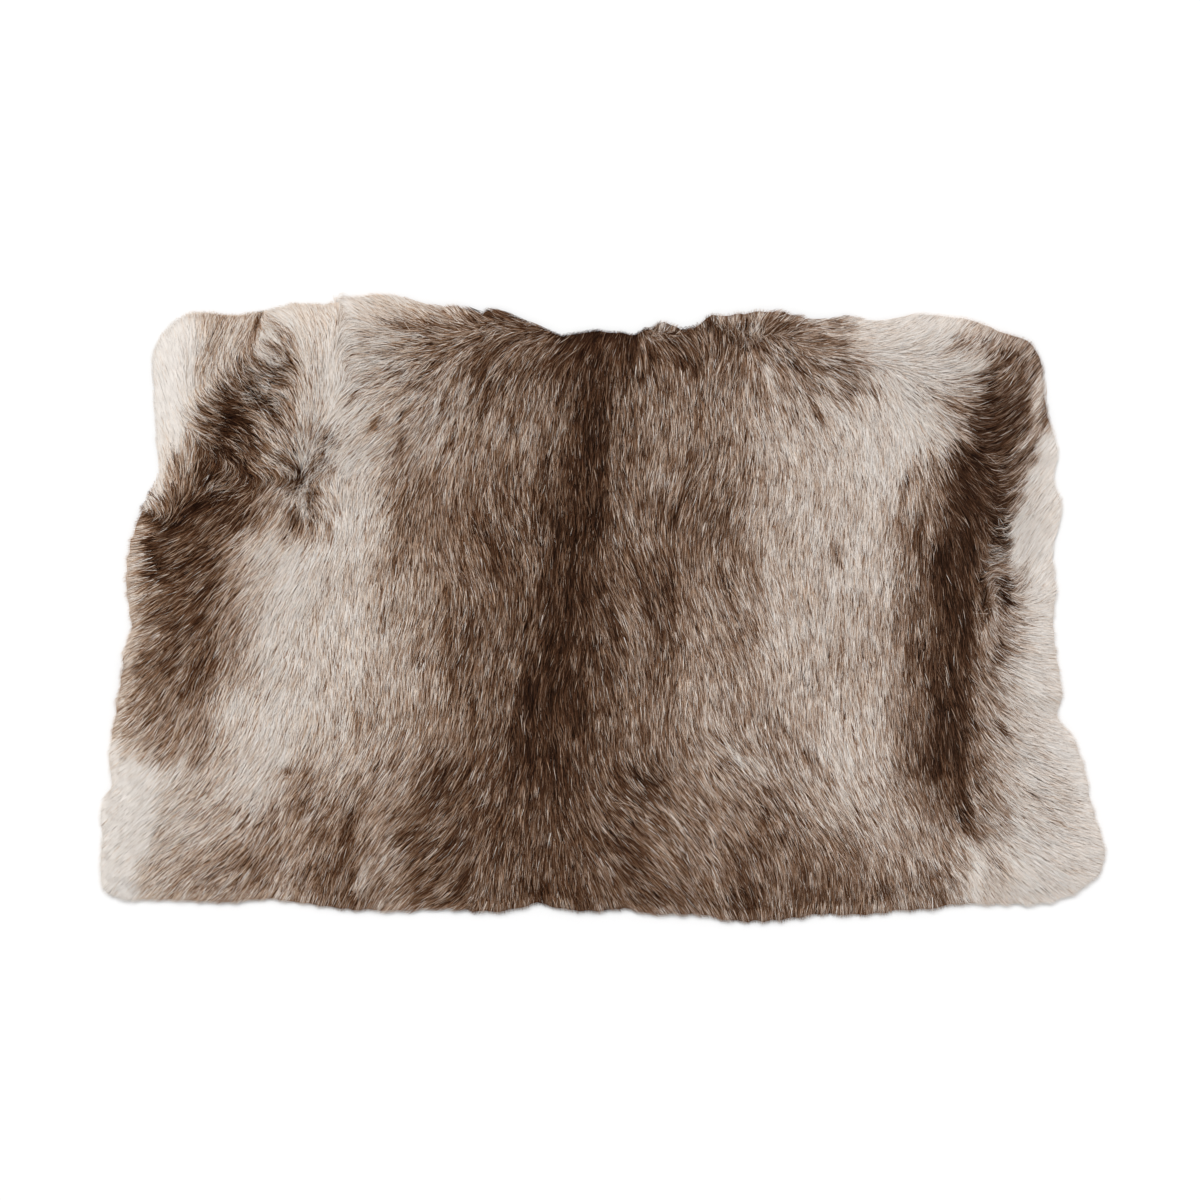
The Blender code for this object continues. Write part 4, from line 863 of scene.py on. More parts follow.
def hair_tone_group():
    """Node group: paints shade on a hair towards its root and mottles it in long soft clouds."""
    name = "Hair tone"
    if name in bpy.data.node_groups:
        return bpy.data.node_groups[name]
    group = bpy.data.node_groups.new(name, "ShaderNodeTree")
    face = group.interface
    face.new_socket("Hair colour", in_out="INPUT", socket_type="NodeSocketColor")
    face.new_socket("Along hair", in_out="INPUT", socket_type="NodeSocketFloat")
    for label, value in (("Root shade", 0.45), ("Mottle size", 90.0), ("Mottle depth", 0.16)):
        face.new_socket(label, in_out="INPUT", socket_type="NodeSocketFloat").default_value = value
    face.new_socket("Colour", in_out="OUTPUT", socket_type="NodeSocketColor")
    face.new_socket("Roughness", in_out="OUTPUT", socket_type="NodeSocketFloat")

    source = node(group, "NodeGroupInput", (-900, 0))
    sink = node(group, "NodeGroupOutput", (500, 0))
    # painted shade: the colour falls to the painted root shade's share at the root, and is full from 0.7
    # along the hair
    rise = node(group, "ShaderNodeMapRange", (-650, 150), {"From Max": 0.7},
                interpolation_type="SMOOTHSTEP")
    where = node(group, "ShaderNodeTexCoord", (-900, -250))
    cloud = node(group, "ShaderNodeTexNoise", (-650, -200), {"Detail": 3.0})
    centred = node(group, "ShaderNodeMath", (-450, -200), {1: 0.5}, operation="SUBTRACT")
    deep = node(group, "ShaderNodeMath", (-280, -200), {2: 1.0}, operation="MULTIPLY_ADD")
    both = node(group, "ShaderNodeMath", (-100, 0), operation="MULTIPLY")
    tint = node(group, "ShaderNodeVectorMath", (100, 100), operation="SCALE")
    sheen = node(group, "ShaderNodeMapRange", (100, -200), {"To Min": 0.68, "To Max": 0.48})
    join(group,
         (source, "Along hair", rise, "Value"),
         (source, "Root shade", rise, "To Min"),
         (where, "Object", cloud, "Vector"),
         (source, "Mottle size", cloud, "Scale"),
         (cloud, "Fac", centred, 0),
         (centred, 0, deep, 0),
         (source, "Mottle depth", deep, 1),
         (rise, "Result", both, 0),
         (deep, 0, both, 1),
         (source, "Hair colour", tint, 0),
         (both, 0, tint, "Scale"),
         (tint, "Vector", sink, "Colour"),
         (cloud, "Fac", sheen, "Value"),
         (sheen, "Result", sink, "Roughness"))
    return group


def new_material(name, inputs):
    """A material with nothing in its tree but the output and a shader with these input values."""
    material = bpy.data.materials.new(name)
    material.use_nodes = True
    tree = material.node_tree
    shader = tree.nodes["Principled BSDF"]
    shader.location = (300, 0)
    tree.nodes["Material Output"].location = (600, 0)
    for label, value in inputs.items():
        shader.inputs[label].default_value = value
    return material, tree, shader


def hair_material(name, painted_root_shade, mottle_size, mottle_depth):
    """Hair: the colour stored on the mesh, run through the shared hair tone group."""
    material, tree, shader = new_material(name, {"Specular IOR Level": 0.05})
    colour = node(tree, "ShaderNodeAttribute", (-400, 100), attribute_name="hair_colour")
    along = node(tree, "ShaderNodeAttribute", (-400, -150), attribute_name="along_hair")
    values = {"Root shade": painted_root_shade, "Mottle size": mottle_size, "Mottle depth": mottle_depth}
    tone = node(tree, "ShaderNodeGroup", (-100, 0), values, node_tree=hair_tone_group())
    join(tree,
         (colour, "Color", tone, "Hair colour"),
         (along, "Fac", tone, "Along hair"),
         (tone, "Colour", shader, "Base Color"),
         (tone, "Roughness", shader, "Roughness"))
    return material, tree, shader


def wool_material():
    """Underfur: the hair material with a fine crimp in its bump."""
    material, tree, shader = hair_material("Underfur wool", painted_root_shade=0.8, mottle_size=140.0,
                                           mottle_depth=0.5)
    where = node(tree, "ShaderNodeTexCoord", (-700, -400))
    crimp = node(tree, "ShaderNodeTexNoise", (-400, -400), {"Scale": 700.0, "Detail": 4.0})
    bump = node(tree, "ShaderNodeBump", (-100, -300), {"Distance": 0.001, "Strength": 0.8})
    join(tree,
         (where, "Object", crimp, "Vector"),
         (crimp, "Fac", bump, "Height"),
         (bump, "Normal", shader, "Normal"))
    return material


def suede_material(colour):
    """Tanned flesh side: a napped surface with faint clouds and pores."""
    material, tree, shader = new_material(
        "Tanned suede", {"Specular IOR Level": 0.25, "Sheen Weight": 0.25})
    where = node(tree, "ShaderNodeTexCoord", (-900, 0))
    cloud = node(tree, "ShaderNodeTexNoise", (-650, 150), {"Scale": 14.0, "Detail": 5.0})
    ramp = node(tree, "ShaderNodeValToRGB", (-400, 150))
    for stop, position, share in zip(ramp.color_ramp.elements, CLOUD_STOPS, CLOUD_SHADES):
        stop.position = position
        stop.color = (*(c * share for c in colour), 1.0)
    nap = node(tree, "ShaderNodeTexNoise", (-650, -150), {"Scale": 900.0, "Detail": 3.0})
    pores = node(tree, "ShaderNodeTexVoronoi", (-650, -400), {"Scale": 420.0})
    relief = node(tree, "ShaderNodeMath", (-350, -250), operation="MULTIPLY")
    bump = node(tree, "ShaderNodeBump", (-100, -200), {"Distance": 0.0004})
    rough = node(tree, "ShaderNodeMapRange", (-100, 0), {"To Min": 0.95, "To Max": 0.75})
    join(tree,
         (where, "Object", cloud, "Vector"),
         (where, "Object", nap, "Vector"),
         (where, "Object", pores, "Vector"),
         (cloud, "Fac", ramp, "Fac"),
         (ramp, "Color", shader, "Base Color"),
         (nap, "Fac", relief, 0),
         (pores, "Distance", relief, 1),
         (relief, 0, bump, "Height"),
         (nap, "Fac", rough, "Value"),
         (rough, "Result", shader, "Roughness"),
         (bump, "Normal", shader, "Normal"))
    return material


# Meshes

RAY_SPAN = (0.2, 0.75)          # metres from the middle between which the hide's rim lies
RAY_STEPS = 551                 # places at which a ray is read there


def new_piece(name, corners, sides, counts, material):
    """A mesh object from whole arrays.

    They are the corners' places, the corners round each face in turn, and how many each face has.
    """
    mesh = bpy.data.meshes.new(name)
    mesh.vertices.add(len(corners))
    mesh.vertices.foreach_set("co", np.ascontiguousarray(corners, dtype=np.float32).ravel())
    mesh.loops.add(len(sides))
    mesh.loops.foreach_set("vertex_index", np.ascontiguousarray(sides, dtype=np.int32))
    mesh.polygons.add(len(counts))
    starts = np.concatenate([[0], np.cumsum(counts)[:-1]]).astype(np.int32)
    mesh.polygons.foreach_set("loop_start", starts)
    mesh.update(calc_edges=True)
    mesh.materials.append(material)
    piece = bpy.data.objects.new(name, mesh)
    bpy.context.scene.collection.objects.link(piece)
    return piece


def store(mesh, name, kind, field, values):
    """Stores values on the mesh's corners, under a name that the materials read."""
    attribute = mesh.attributes.new(name, kind, "POINT")
    attribute.data.foreach_set(field, np.ascontiguousarray(values, dtype=np.float32).ravel())


def even_rim(inset_field, count, inset):
    """A smooth loop of `count` places round the hide, a given way inside its rim.

    For each heading from the middle, the furthest place where the inset is reached, found by
    reading the field along the ray.
    """
    headings = np.linspace(0.0, 2 * math.pi, count, endpoint=False)
    rays = np.column_stack([np.cos(headings), np.sin(headings)])
    steps = np.linspace(*RAY_SPAN, RAY_STEPS)
    places = rays[:, None, :] * steps[None, :, None]
    inside = read_field(inset_field, places.reshape(-1, 2)).reshape(count, -1) > inset
    last = inside.shape[1] - 1 - np.argmax(inside[:, ::-1], axis=1)
    return rays * steps[last][:, None]


def closed_sheet(name, rim, rings, top, bottom, material):
    """A closed slab: rings of places shrink from the rim to a pole, over and under.

    top and bottom give the height at plan places. The upper rings run from the rim to the middle,
    the lower ones back again, and each pole is a fan.
    """
    count = len(rim)
    shares = np.linspace(1.0, 0.0, rings + 1)[:-1]
    plan = (rim[None] * shares[:, None, None]).reshape(-1, 2)
    middle = np.zeros((1, 2))
    upper = np.column_stack([plan, top(plan)])
    lower = np.column_stack([plan, bottom(plan)])
    poles = np.array([[0.0, 0.0, top(middle)[0]], [0.0, 0.0, bottom(middle)[0]]])
    corners = np.vstack([upper, lower, poles])

    here = np.arange(count)
    there = np.roll(here, -1)
    half = len(upper)
    ring = np.arange(rings - 1)[:, None] * count
    over = np.stack([ring + here, ring + there, ring + count + there, ring + count + here], -1)
    over = over.reshape(-1, 4)
    under = over[:, ::-1] + half
    side = np.stack([half + here, half + there, there, here], -1)
    last = (rings - 1) * count
    cap = np.stack([last + here, last + there, np.full(count, 2 * half)], -1)
    base = np.stack([half + last + there, half + last + here, np.full(count, 2 * half + 1)], -1)
    quads = np.vstack([over, under, side])
    fans = np.vstack([cap, base])
    sides = np.concatenate([quads.ravel(), fans.ravel()])
    counts = np.concatenate([np.full(len(quads), 4), np.full(len(fans), 3)])
    return new_piece(name, corners, sides, counts, material)


# Guard hair: where each one lies

SHARES = (0.0, 0.42, 1.0)       # the stations of a hair: its root, its widest place and its tip
LATTICE_MARGIN = 0.006          # how far the lattice of tips goes on beyond the hide's box
LOCK_STRETCH = 2.6              # how much longer than wide a lock is
TUFT_STRETCH = 1.8              # and a tuft

TIP_REACH = 0.0013              # tips may lie this far beyond the rim
LOCK_TIP_REACH = 0.0014         # and by up to this much further, from lock to lock
HAIR_TIP_REACH = 0.0008         # and this much further or less far, from hair to hair
RIM_GATHER = 0.005              # hair that would end up to this far beyond that ends there
ROOT_REACH = 0.0015             # a hair whose root lies this far beyond the rim is cut shorter
ROOT_LIMIT = 0.0026             # and left out if its root is still this far beyond
CUT_ROUNDS = 7                  # how many times it may be cut
CUT_SHARE = 0.72                # each time to this share of its length
RIM_HAIR_SHORTEST = 0.12        # but not to less than this share of the usual length

# How much neighbouring hair differs, in the order in which it is drawn: for each hair, or for all
# hair of a lock or tuft, the spread of a normal draw. The first four are in degrees.
TURNS = {"hair": 5.5, "lock": 3.5, "tuft": 3.0}     # off the lay
BENDS = {"hair": 3.0, "lock": 2.5}                  # from one leg of a hair to the next
RUFFLED_TURNS = {"hair": 24.0, "lock": 26.0}        # what is added to those where hair is ruffled
RUFFLED_BENDS = {"hair": 26.0}
LIFTS = {"lock": 0.0005, "tuft": 0.0009}            # up or down, in metres
DRAGS = {"lock": 0.0035, "hair": 0.003}             # metres along the lay that a tone is taken from
TONE_CHANGES = {"lock": 0.018, "tuft": 0.018}       # in tone, at full contrast
WARMTHS = {"tuft": 0.2, "hair": 0.4}                # in warmth

SWELL_SIZE = 0.055              # size of the slow swells in the lay
SWELL_TURN = math.radians(4)    # and how far they turn the hair
STRAY_TURN = math.radians(14)   # spread of what strays are turned by
CALM_TONES = (0.80, 0.93)       # pale hair lies flatter and more in order
CALMS = (1.0, 0.08)
LENGTHS = (0.72, 1.22)          # shares of the usual length that hairs have
RUFFLED_SHORTER = 0.52          # ruffled hair shows this share less of its length
LOCK_LENGTH = 0.10              # how much the locks' lengths differ, either way
PULLS = (0.5, 1.3)              # shares of the lock pull that locks have
PULL_CURVE = 1.4                # power of the way along a hair that the pull grows by


def cut_down(hair, kept):
    """The same hairs' arrays, cut down to those kept, or put in the order of their numbers."""
    return SimpleNamespace(**{name: values[kept] for name, values in vars(hair).items()})


def varied(hair, counts, spreads, chance):
    """Normal draws with the table's spreads, added up for each hair."""
    total = 0.0
    for level, spread in spreads.items():
        if level == "hair":
            total = total + chance.normal(0, spread, len(hair.lock))
        else:
            total = total + chance.normal(0, spread, counts[level])[getattr(hair, level)]
    return total


def varied_angles(hair, counts, spreads, chance):
    """The same for a table in degrees, given in radians."""
    in_radians = {level: math.radians(spread) for level, spread in spreads.items()}
    return varied(hair, counts, in_radians, chance)


def jittered(spacing, chance):
    """Places on a brick lattice over the hide's box, each moved at random by up to half the spacing."""
    low, high = LOW[:2] - LATTICE_MARGIN, HIGH[:2] + LATTICE_MARGIN
    rows = np.arange(low[1], high[1], spacing * math.sqrt(3) / 2)
    columns = np.arange(low[0], high[0], spacing)
    grid = np.stack(np.meshgrid(columns, rows, indexing="ij"), axis=-1)
    grid[:, 1::2, 0] += spacing / 2
    places = grid.reshape(-1, 2)
    return places + chance.uniform(-0.5, 0.5, places.shape) * spacing


def nearest_lock(places, lay, size, stretch, chance):
    """Gathers places into locks: each place's lock number, the way to the lock's middle, the count.

    The middles are one random place in each square of that size. The nearest of the squares around
    is taken, with distances along the lay shortened by the stretch, so that locks are long.
    """
    squares = squares_over(LOCK_MARGIN, size)
    middles = chance.uniform(0, 1, squares + (2,))
    spot = (places - LOW[:2] + LOCK_MARGIN) / size + 1
    square_at = spot.astype(int)
    best = np.full(len(places), np.inf)
    number = np.zeros(len(places), dtype=int)
    way = np.zeros_like(places)
    for i in range(-2, 3):
        for j in range(-2, 3):
            a = np.clip(square_at[:, 0] + i, 0, squares[0] - 1)
            b = np.clip(square_at[:, 1] + j, 0, squares[1] - 1)
            off = (np.column_stack([a, b]) + middles[a, b] - spot) * size
            along = (off * lay).sum(axis=1)
            off_square = (off**2).sum(axis=1) - along**2 * (1 - 1 / stretch**2)
            closer = off_square < best
            best[closer] = off_square[closer]
            number[closer] = (a * squares[1] + b)[closer]
            way[closer] = off[closer]
    return number, way, squares[0] * squares[1]


def turned(vectors, angles):
    """Plan vectors, each turned counter-clockwise by its angle."""
    c, s = np.cos(angles), np.sin(angles)
    x, y = vectors[:, 0], vectors[:, 1]
    return np.column_stack([x * c - y * s, x * s + y * c])


def placed_hair(settings, chance):
    """The hairs in random order, with their tips, headings, locks and tufts, and the groups' counts.

    The tips start on a jittered lattice. Each lock has its own reach over the rim: tips a little
    beyond it are moved in to it, and those far beyond are left out.
    """
    inset = coat_fields()[0]
    area = float((inset > 0).sum()) * FIELD_STEP**2
    tips = jittered(math.sqrt(area / settings.hairs * 2 / math.sqrt(3)), chance)
    heading = unit(read_field(lay_field(), tips), TINY)
    lock, to_middle, locks = nearest_lock(tips, heading, settings.lock_width, LOCK_STRETCH, chance)
    tuft, _, tufts = nearest_lock(tips, heading, settings.tuft_width, TUFT_STRETCH, chance)

    reach = chance.uniform(0.0, 1.0, locks)[lock]
    beyond = (-TIP_REACH - LOCK_TIP_REACH * reach + HAIR_TIP_REACH * chance.uniform(-1, 1, len(tips))
              - read_field(inset, tips))
    inward = np.stack(np.gradient(inset, FIELD_STEP), axis=-1)
    tips = tips + read_field(inward, tips) * np.maximum(beyond, 0.0)[:, None]
    hair = SimpleNamespace(tip=tips, heading=heading, lock=lock, tuft=tuft, to_middle=to_middle)
    hair = cut_down(hair, beyond < RIM_GATHER)
    order = chance.permutation(len(hair.tip))[:settings.hairs]
    return cut_down(hair, order), {"lock": locks, "tuft": tufts}


def traced_back(tips, lengths, turns, bends):
    """Each hair's plan places, root first: from the tip, steps against the lay.

    The lay is turned by the hair's own angle, and a little more by its bend for each step towards
    the root, so that the hair is an arc.
    """
    places = [tips]
    for step, share in enumerate(np.diff(SHARES)[::-1]):
        heading = unit(read_field(lay_field(), places[-1]), TINY)
        heading = turned(heading, turns + bends * step)
        places.append(places[-1] - heading * (lengths * share)[:, None])
    return np.stack(places[::-1], axis=1)


def lay_hair(hair, counts, settings, chance):
    """Gives each hair its ruffle, its length and its path over the plan, and returns those kept.

    Near the rim a hair is cut shorter until its root comes to lie under the coat, and it is left
    out if it can't.
    """
    count = len(hair.tip)
    inset = coat_fields()[0]
    hair.stray = chance.uniform(0, 1, count) < settings.stray_share
    turns = (varied_angles(hair, counts, TURNS, chance)
             + SWELL_TURN * swells(hair.tip, SWELL_SIZE, chance)
             + hair.stray * chance.normal(0, STRAY_TURN, count))
    turns *= np.interp(read_field(tone_field(), hair.tip), CALM_TONES, CALMS)
    bends = varied_angles(hair, counts, BENDS, chance)
    hair.ruffle = read_field(ruffle_field(), hair.tip)
    turns += hair.ruffle * varied_angles(hair, counts, RUFFLED_TURNS, chance)
    bends += hair.ruffle * varied_angles(hair, counts, RUFFLED_BENDS, chance)

    lengths = settings.hair_length * chance.uniform(*LENGTHS, count)
    lengths *= 1.0 - RUFFLED_SHORTER * hair.ruffle
    lengths *= 1 + LOCK_LENGTH * chance.uniform(-1, 1, counts["lock"])[hair.lock]
    shortest = settings.hair_length * RIM_HAIR_SHORTEST
    for _ in range(CUT_ROUNDS):
        roots = traced_back(hair.tip, lengths, turns, bends)[:, 0]
        outside = read_field(inset, roots) < -ROOT_REACH
        lengths = np.where(outside, np.maximum(lengths * CUT_SHARE, shortest), lengths)
    hair.length = lengths
    hair.path = traced_back(hair.tip, lengths, turns, bends)
    return cut_down(hair, read_field(inset, hair.path[:, 0]) > -ROOT_LIMIT)


def gather_locks(hair, counts, settings, chance):
    """Draws the hairs sideways to the middle of their locks, the more the nearer to their tips.

    It also notes how near each hair was to its lock's border: 0 at the middle and 1 at the border.
    """
    across = np.column_stack([-hair.heading[:, 1], hair.heading[:, 0]])
    sideways = (hair.to_middle * across).sum(axis=1)
    hair.border = np.clip(np.abs(sideways) / (0.5 * settings.lock_width), 0.0, 1.0)
    pull = settings.lock_pull * chance.uniform(*PULLS, counts["lock"])[hair.lock] * ~hair.stray
    drawn = across * (sideways * pull)[:, None]
    hair.path = hair.path + drawn[:, None, :] * (np.array(SHARES)**PULL_CURVE)[None, :, None]


# Guard hair: how high it lies

RISE = (0.0, 0.82, 1.0)         # share of a hair's rise from root height to full height
LAYERING = 0.0038               # depth over which the hairs lie over and under each other
LOCK_VALLEY = 0.0012            # how much lower a lock's hair lies at its borders
STRAY_LIFT = 0.0015             # how much higher a stray may lie
LIFT_DEPTH = 0.020              # where the coat is less deep than this, hairs are lifted less
LEAST_LIFT = 0.15               # but at least by this share
ROOT_HEIGHT = 0.0011            # no root lies lower than this
TIP_RISE = 0.0012               # and no tip lower than this over that
LEAST_HEIGHT = 0.0004           # no side of a hair lies lower than this
ROLL = math.radians(22)         # spread of how far hairs are rolled about their length
WIDTHS = (0.7, 1.25)            # shares of the usual width that hairs have
SHORT_WIDTH = 0.55              # short hairs are narrower, down to this share
RUFFLED_NARROWER = 0.2          # and ruffled ones by this share


def raised(hair, counts, settings, chance):
    """The hairs' lines in space, root first.

    Each rises from its root's share of the coat's height to all of it, lifted by its lock and
    tuft and lowered by its level in the coat and by its place at a lock's border.
    """
    height = coat_fields()[1]
    count, stations = hair.path.shape[:2]
    pile = read_field(height, hair.path.reshape(-1, 2)).reshape(count, stations)
    rise = settings.root_share + (1 - settings.root_share) * np.array(RISE)
    hair.level = chance.uniform(0, 1, count)
    lift = hair.calm * (varied(hair, counts, LIFTS, chance)
                        - LAYERING * (1 - hair.level) - LOCK_VALLEY * hair.border**2
                        + hair.stray * chance.uniform(0, STRAY_LIFT, count))
    depth_share = np.clip(pile / LIFT_DEPTH, LEAST_LIFT, 1.0)
    z = pile * rise + lift[:, None] * np.array(RISE) * depth_share
    z = np.maximum(z, ROOT_HEIGHT + TIP_RISE * np.array(SHARES))
    return np.concatenate([hair.path, z[:, :, None]], axis=2)


def kites(hair, line, settings, chance):
    """The four corners of each hair: its root, its widest place's left and right side and its tip.

    The sides stand off square to the hair's travel: level, and then rolled about it.
    """
    count = len(line)
    travel = line[:, 2] - line[:, 0]
    level = unit(np.column_stack([-travel[:, 1], travel[:, 0], np.zeros(count)]))
    upward = unit(np.cross(travel, level))
    roll = (hair.calm * chance.normal(0, ROLL, count))[:, None]
    side = level * np.cos(roll) + upward * np.sin(roll)
    width = settings.hair_width * chance.uniform(*WIDTHS, count)
    width *= np.clip(hair.length / settings.hair_length, SHORT_WIDTH, 1.0)
    width *= 1.0 - RUFFLED_NARROWER * hair.ruffle
    offset = side * (0.5 * width)[:, None]
    corners = np.stack([line[:, 0], line[:, 1] + offset, line[:, 1] - offset, line[:, 2]], axis=1)
    corners[:, :, 2] = np.maximum(corners[:, :, 2], LEAST_HEIGHT)
    return corners


# Guard hair: its colours

PAINTED_ROOT_SHADE_RUN = (-0.20, -0.02, 0.07)  # what a hair's tone changes by along it, at full contrast: darker at the root as painted shade under the coat, a little paler at the tip
DRIFT = 0.022                   # how much the drifts change it
LOCK_PAINTED_SHADE = 0.12               # painted shade between locks: how much darker a lock is at its borders than at its middle
SHADE_START = 0.375             # share of the way to the border at which this sets in
SHADE_MEAN = 0.3                # share of that painted shade that all hair gets back, so that the mean tone stays
HAIR_CHANGE = 0.098             # spread of the change from hair to hair
LEVEL_PAINTED_SHADE = 0.16             # painted shade in the coat: how much paler the topmost hairs are than the lowest
LEVEL_MEAN = 0.36               # the level at which they are neither
ODD_DARK = (0.10, 0.16)         # this share of the hairs is darker, by this much
ODD_PALE = (0.12, 0.10)         # and this share paler
RUFFLE_GROUPS = 2.8             # how much more locks and tufts differ where the hair is ruffled
RUFFLE_CONTRAST = 0.7           # and how much more its tones differ there in all
RUFFLE_WARMTH = 1.2             # and how much ruddier it is

# How much neighbouring hairs differ, by tone: much in the brown, little in the cream
CONTRAST_TONES = (0.0, 0.15, 0.3, 0.45, 0.7, 0.82, 0.9, 1.0)
CONTRASTS = (1.75, 1.75, 1.6, 1.2, 1.06, 1.0, 0.4, 0.02)
LEAN_TONES = (0.20, 0.50)       # between these tones, from the paler to the darker,
DARK_LEAN = 0.75                # a paler hair's change falls to this share, and a darker one's rises
LEAN_SHIFT = 0.03               # and all hair darkens by this times the share that was lost
MARGIN = 0.075                  # within this of the rim
MARGIN_CALM = 0.45              # the tones of pale hair differ less by up to this share
MARGIN_TONES = (0.60, 0.80)     # pale being from the first of these tones on, and fully at the second
FLECKS = 0.035                  # share of the hairs in the cream that are odd ones
CREAM_FLECK = 0.20              # and how much darker they are


def note_tones(hair, counts, chance):
    """Gives each hair its tone before contrasts, and notes how calm hair of that tone is.

    The tone is read from the tone field, a little up or down the lay, so that borders are uneven.
    """
    drag = varied(hair, counts, DRAGS, chance)
    tip = hair.path[:, -1]
    middle = (hair.path[:, 1] + tip) / 2
    at_rim = 1.0 - soft_step((read_field(coat_fields()[0], tip) + RIM_TONE_REACH) / RIM_PALING)
    hair.tone = paled(read_field(tone_field(), middle + hair.heading * drag[:, None]), at_rim)
    hair.calm = np.interp(hair.tone, CALM_TONES, CALMS)


def own_changes(hair, counts, chance):
    """How each hair's tone differs from its surroundings, at full contrast, with painted shade at lock
    borders and on low-lying hair, and its odd draw.
    """
    count = len(hair.path)
    middle = (hair.path[:, 1] + hair.path[:, -1]) / 2
    # painted shade: hair nearer a lock's border is darkened more
    shade = soft_step((hair.border - SHADE_START) / (1.0 - SHADE_START))
    in_groups = (varied(hair, counts, TONE_CHANGES, chance)
                 + DRIFT * read_field(drift_field(), middle)
                 - LOCK_PAINTED_SHADE * (shade - SHADE_MEAN))
    own = ((1.0 + RUFFLE_GROUPS * hair.ruffle) * in_groups
           + HAIR_CHANGE * chance.normal(0, 1, count)
           + LEVEL_PAINTED_SHADE * (hair.level - LEVEL_MEAN))
    odd = chance.uniform(0, 1, count)
    own = np.where(odd < ODD_DARK[0], own - ODD_DARK[1], own)
    own = np.where(odd > 1.0 - ODD_PALE[0], own + ODD_PALE[1], own)
    lean = np.interp(hair.tone, LEAN_TONES, (DARK_LEAN, 1.0))
    return own * np.where(own > 0, lean, 2.0 - lean) - LEAN_SHIFT * (1.0 - lean), odd


def hair_shades(hair, counts, colours, chance):
    """Each hair's colours at its stations: its tone with the contrasts of that tone and painted shade
    towards the root, warmed.
    """
    own, odd = own_changes(hair, counts, chance)
    tip = hair.path[:, -1]
    contrast = np.interp(hair.tone, CONTRAST_TONES, CONTRASTS)
    contrast *= 1.0 + RUFFLE_CONTRAST * hair.ruffle
    margin = 1.0 - soft_step(read_field(coat_fields()[0], tip) / MARGIN)
    pale = soft_step((hair.tone - MARGIN_TONES[0]) / (MARGIN_TONES[1] - MARGIN_TONES[0]))
    contrast *= 1.0 - MARGIN_CALM * margin * pale
    # painted shade: tones fall towards each hair's root
    tones = hair.tone[:, None] + contrast[:, None] * (own[:, None] + np.array(PAINTED_ROOT_SHADE_RUN))
    tones = tones - CREAM_FLECK * ((odd < FLECKS) * (1 - hair.calm))[:, None]
    tones = np.clip(tones, 0.0, 1.0).ravel()
    warmth = warmth_at(tip) + RUFFLE_WARMTH * hair.ruffle + varied(hair, counts, WARMTHS, chance)
    shades = warmed(hair_colours(tones, colours), tones, np.repeat(warmth, len(SHARES)))
    return shades.reshape(len(hair.path), len(SHARES), 3)


def comb_coat(settings, colours):
    """All guard hairs as arrays: corner places, colours at the stations and the roots' plan places."""
    chance = np.random.default_rng(settings.seed)
    hair, counts = placed_hair(settings, chance)
    hair = lay_hair(hair, counts, settings, chance)
    gather_locks(hair, counts, settings, chance)
    note_tones(hair, counts, chance)
    corners = kites(hair, raised(hair, counts, settings, chance), settings, chance)
    return corners, hair_shades(hair, counts, colours, chance), hair.path[:, 0]


# Guard hair: its bands

BANDS = ("coat_neck", "coat_shoulders", "coat_back", "coat_loins", "coat_rump", "coat_tail")
CELL_EDGE = 0.14                # bare border of a hair's cell on the bake map


def in_columns(part, places):
    """The same hairs in columns across the hide, sorted along it within each.

    There are as many columns as hairs in a column.
    """
    across = part[np.argsort(places[part, 0], kind="stable")]
    columns = np.array_split(across, int(math.ceil(math.sqrt(len(part)))))
    return np.concatenate([column[np.argsort(places[column, 1], kind="stable")] for column in columns])


def hair_band(name, corners, colours, material):
    """One band of guard hair: each hair is a slim kite of two triangles, normals up.

    Its corners are the root, the widest place's left and right side and the tip. Each hair has its
    own cell on the bake map, with the root at the cell's lower edge.
    """
    count = len(corners)
    sides = ((4 * np.arange(count))[:, None] + np.array([0, 2, 1, 1, 2, 3])).ravel()
    piece = new_piece(name, corners.reshape(-1, 3), sides, np.full(2 * count, 3), material)
    mesh = piece.data
    station = np.array([0, 1, 1, 2])
    along = np.array(SHARES)[station]
    store(mesh, "along_hair", "FLOAT", "value", np.tile(along, count))
    rgba = np.ones((count, 4, 4))
    rgba[:, :, :3] = colours[:, station]
    store(mesh, "hair_colour", "FLOAT_COLOR", "color", rgba)

    rows = int(math.ceil(math.sqrt(count)))
    cell = np.stack([np.arange(count) // rows, np.arange(count) % rows], axis=1)
    across = np.array([0.5, 0.0, 1.0, 0.5])
    spot = CELL_EDGE + (1 - 2 * CELL_EDGE) * np.column_stack([across, along])
    places = (cell[:, None, :] + spot[None]) / rows
    layer = mesh.uv_layers.new(name="OFBake", do_init=False)
    layer.uv.foreach_set("vector", places.reshape(-1, 2)[sides].astype(np.float32).ravel())
    return piece


# Operators

SKIN_CORNERS, SKIN_RINGS = 720, 5
SKIN_SEED = 5
SKIN_SWELL = 0.12               # how much its thickness differs, either way
SKIN_SWELL_SIZE = 0.03

WOOL_CORNERS, WOOL_RINGS = 480, 26
WOOL_SEED = 17
WOOL_LUMPS = ((0.011, 1.0), (0.005, 0.5))   # sizes of its lumps, and their shares of the relief
WOOL_LUMP_FADE = 0.02           # the lumps fade out over this last stretch before the rim
WOOL_UNDER, WOOL_LEAST = 0.0012, 0.0022     # height of its underside, and least height of its top
WOOL_PAINTED_SHADE = 0.20              # painted shade: how much darker than the hair it is inside the rim, where the coat covers it
WOOL_ALONG, RIM_WOOL_ALONG = 0.25, 0.5      # its place along a hair's painted root shade, and what the rim adds

FLOOR_SPAN, FLOOR_DROP = 12.0, 0.0002
KEY_FROM = (-0.15, 0.55, 0.85)
KEY_ANGLE = math.radians(28)


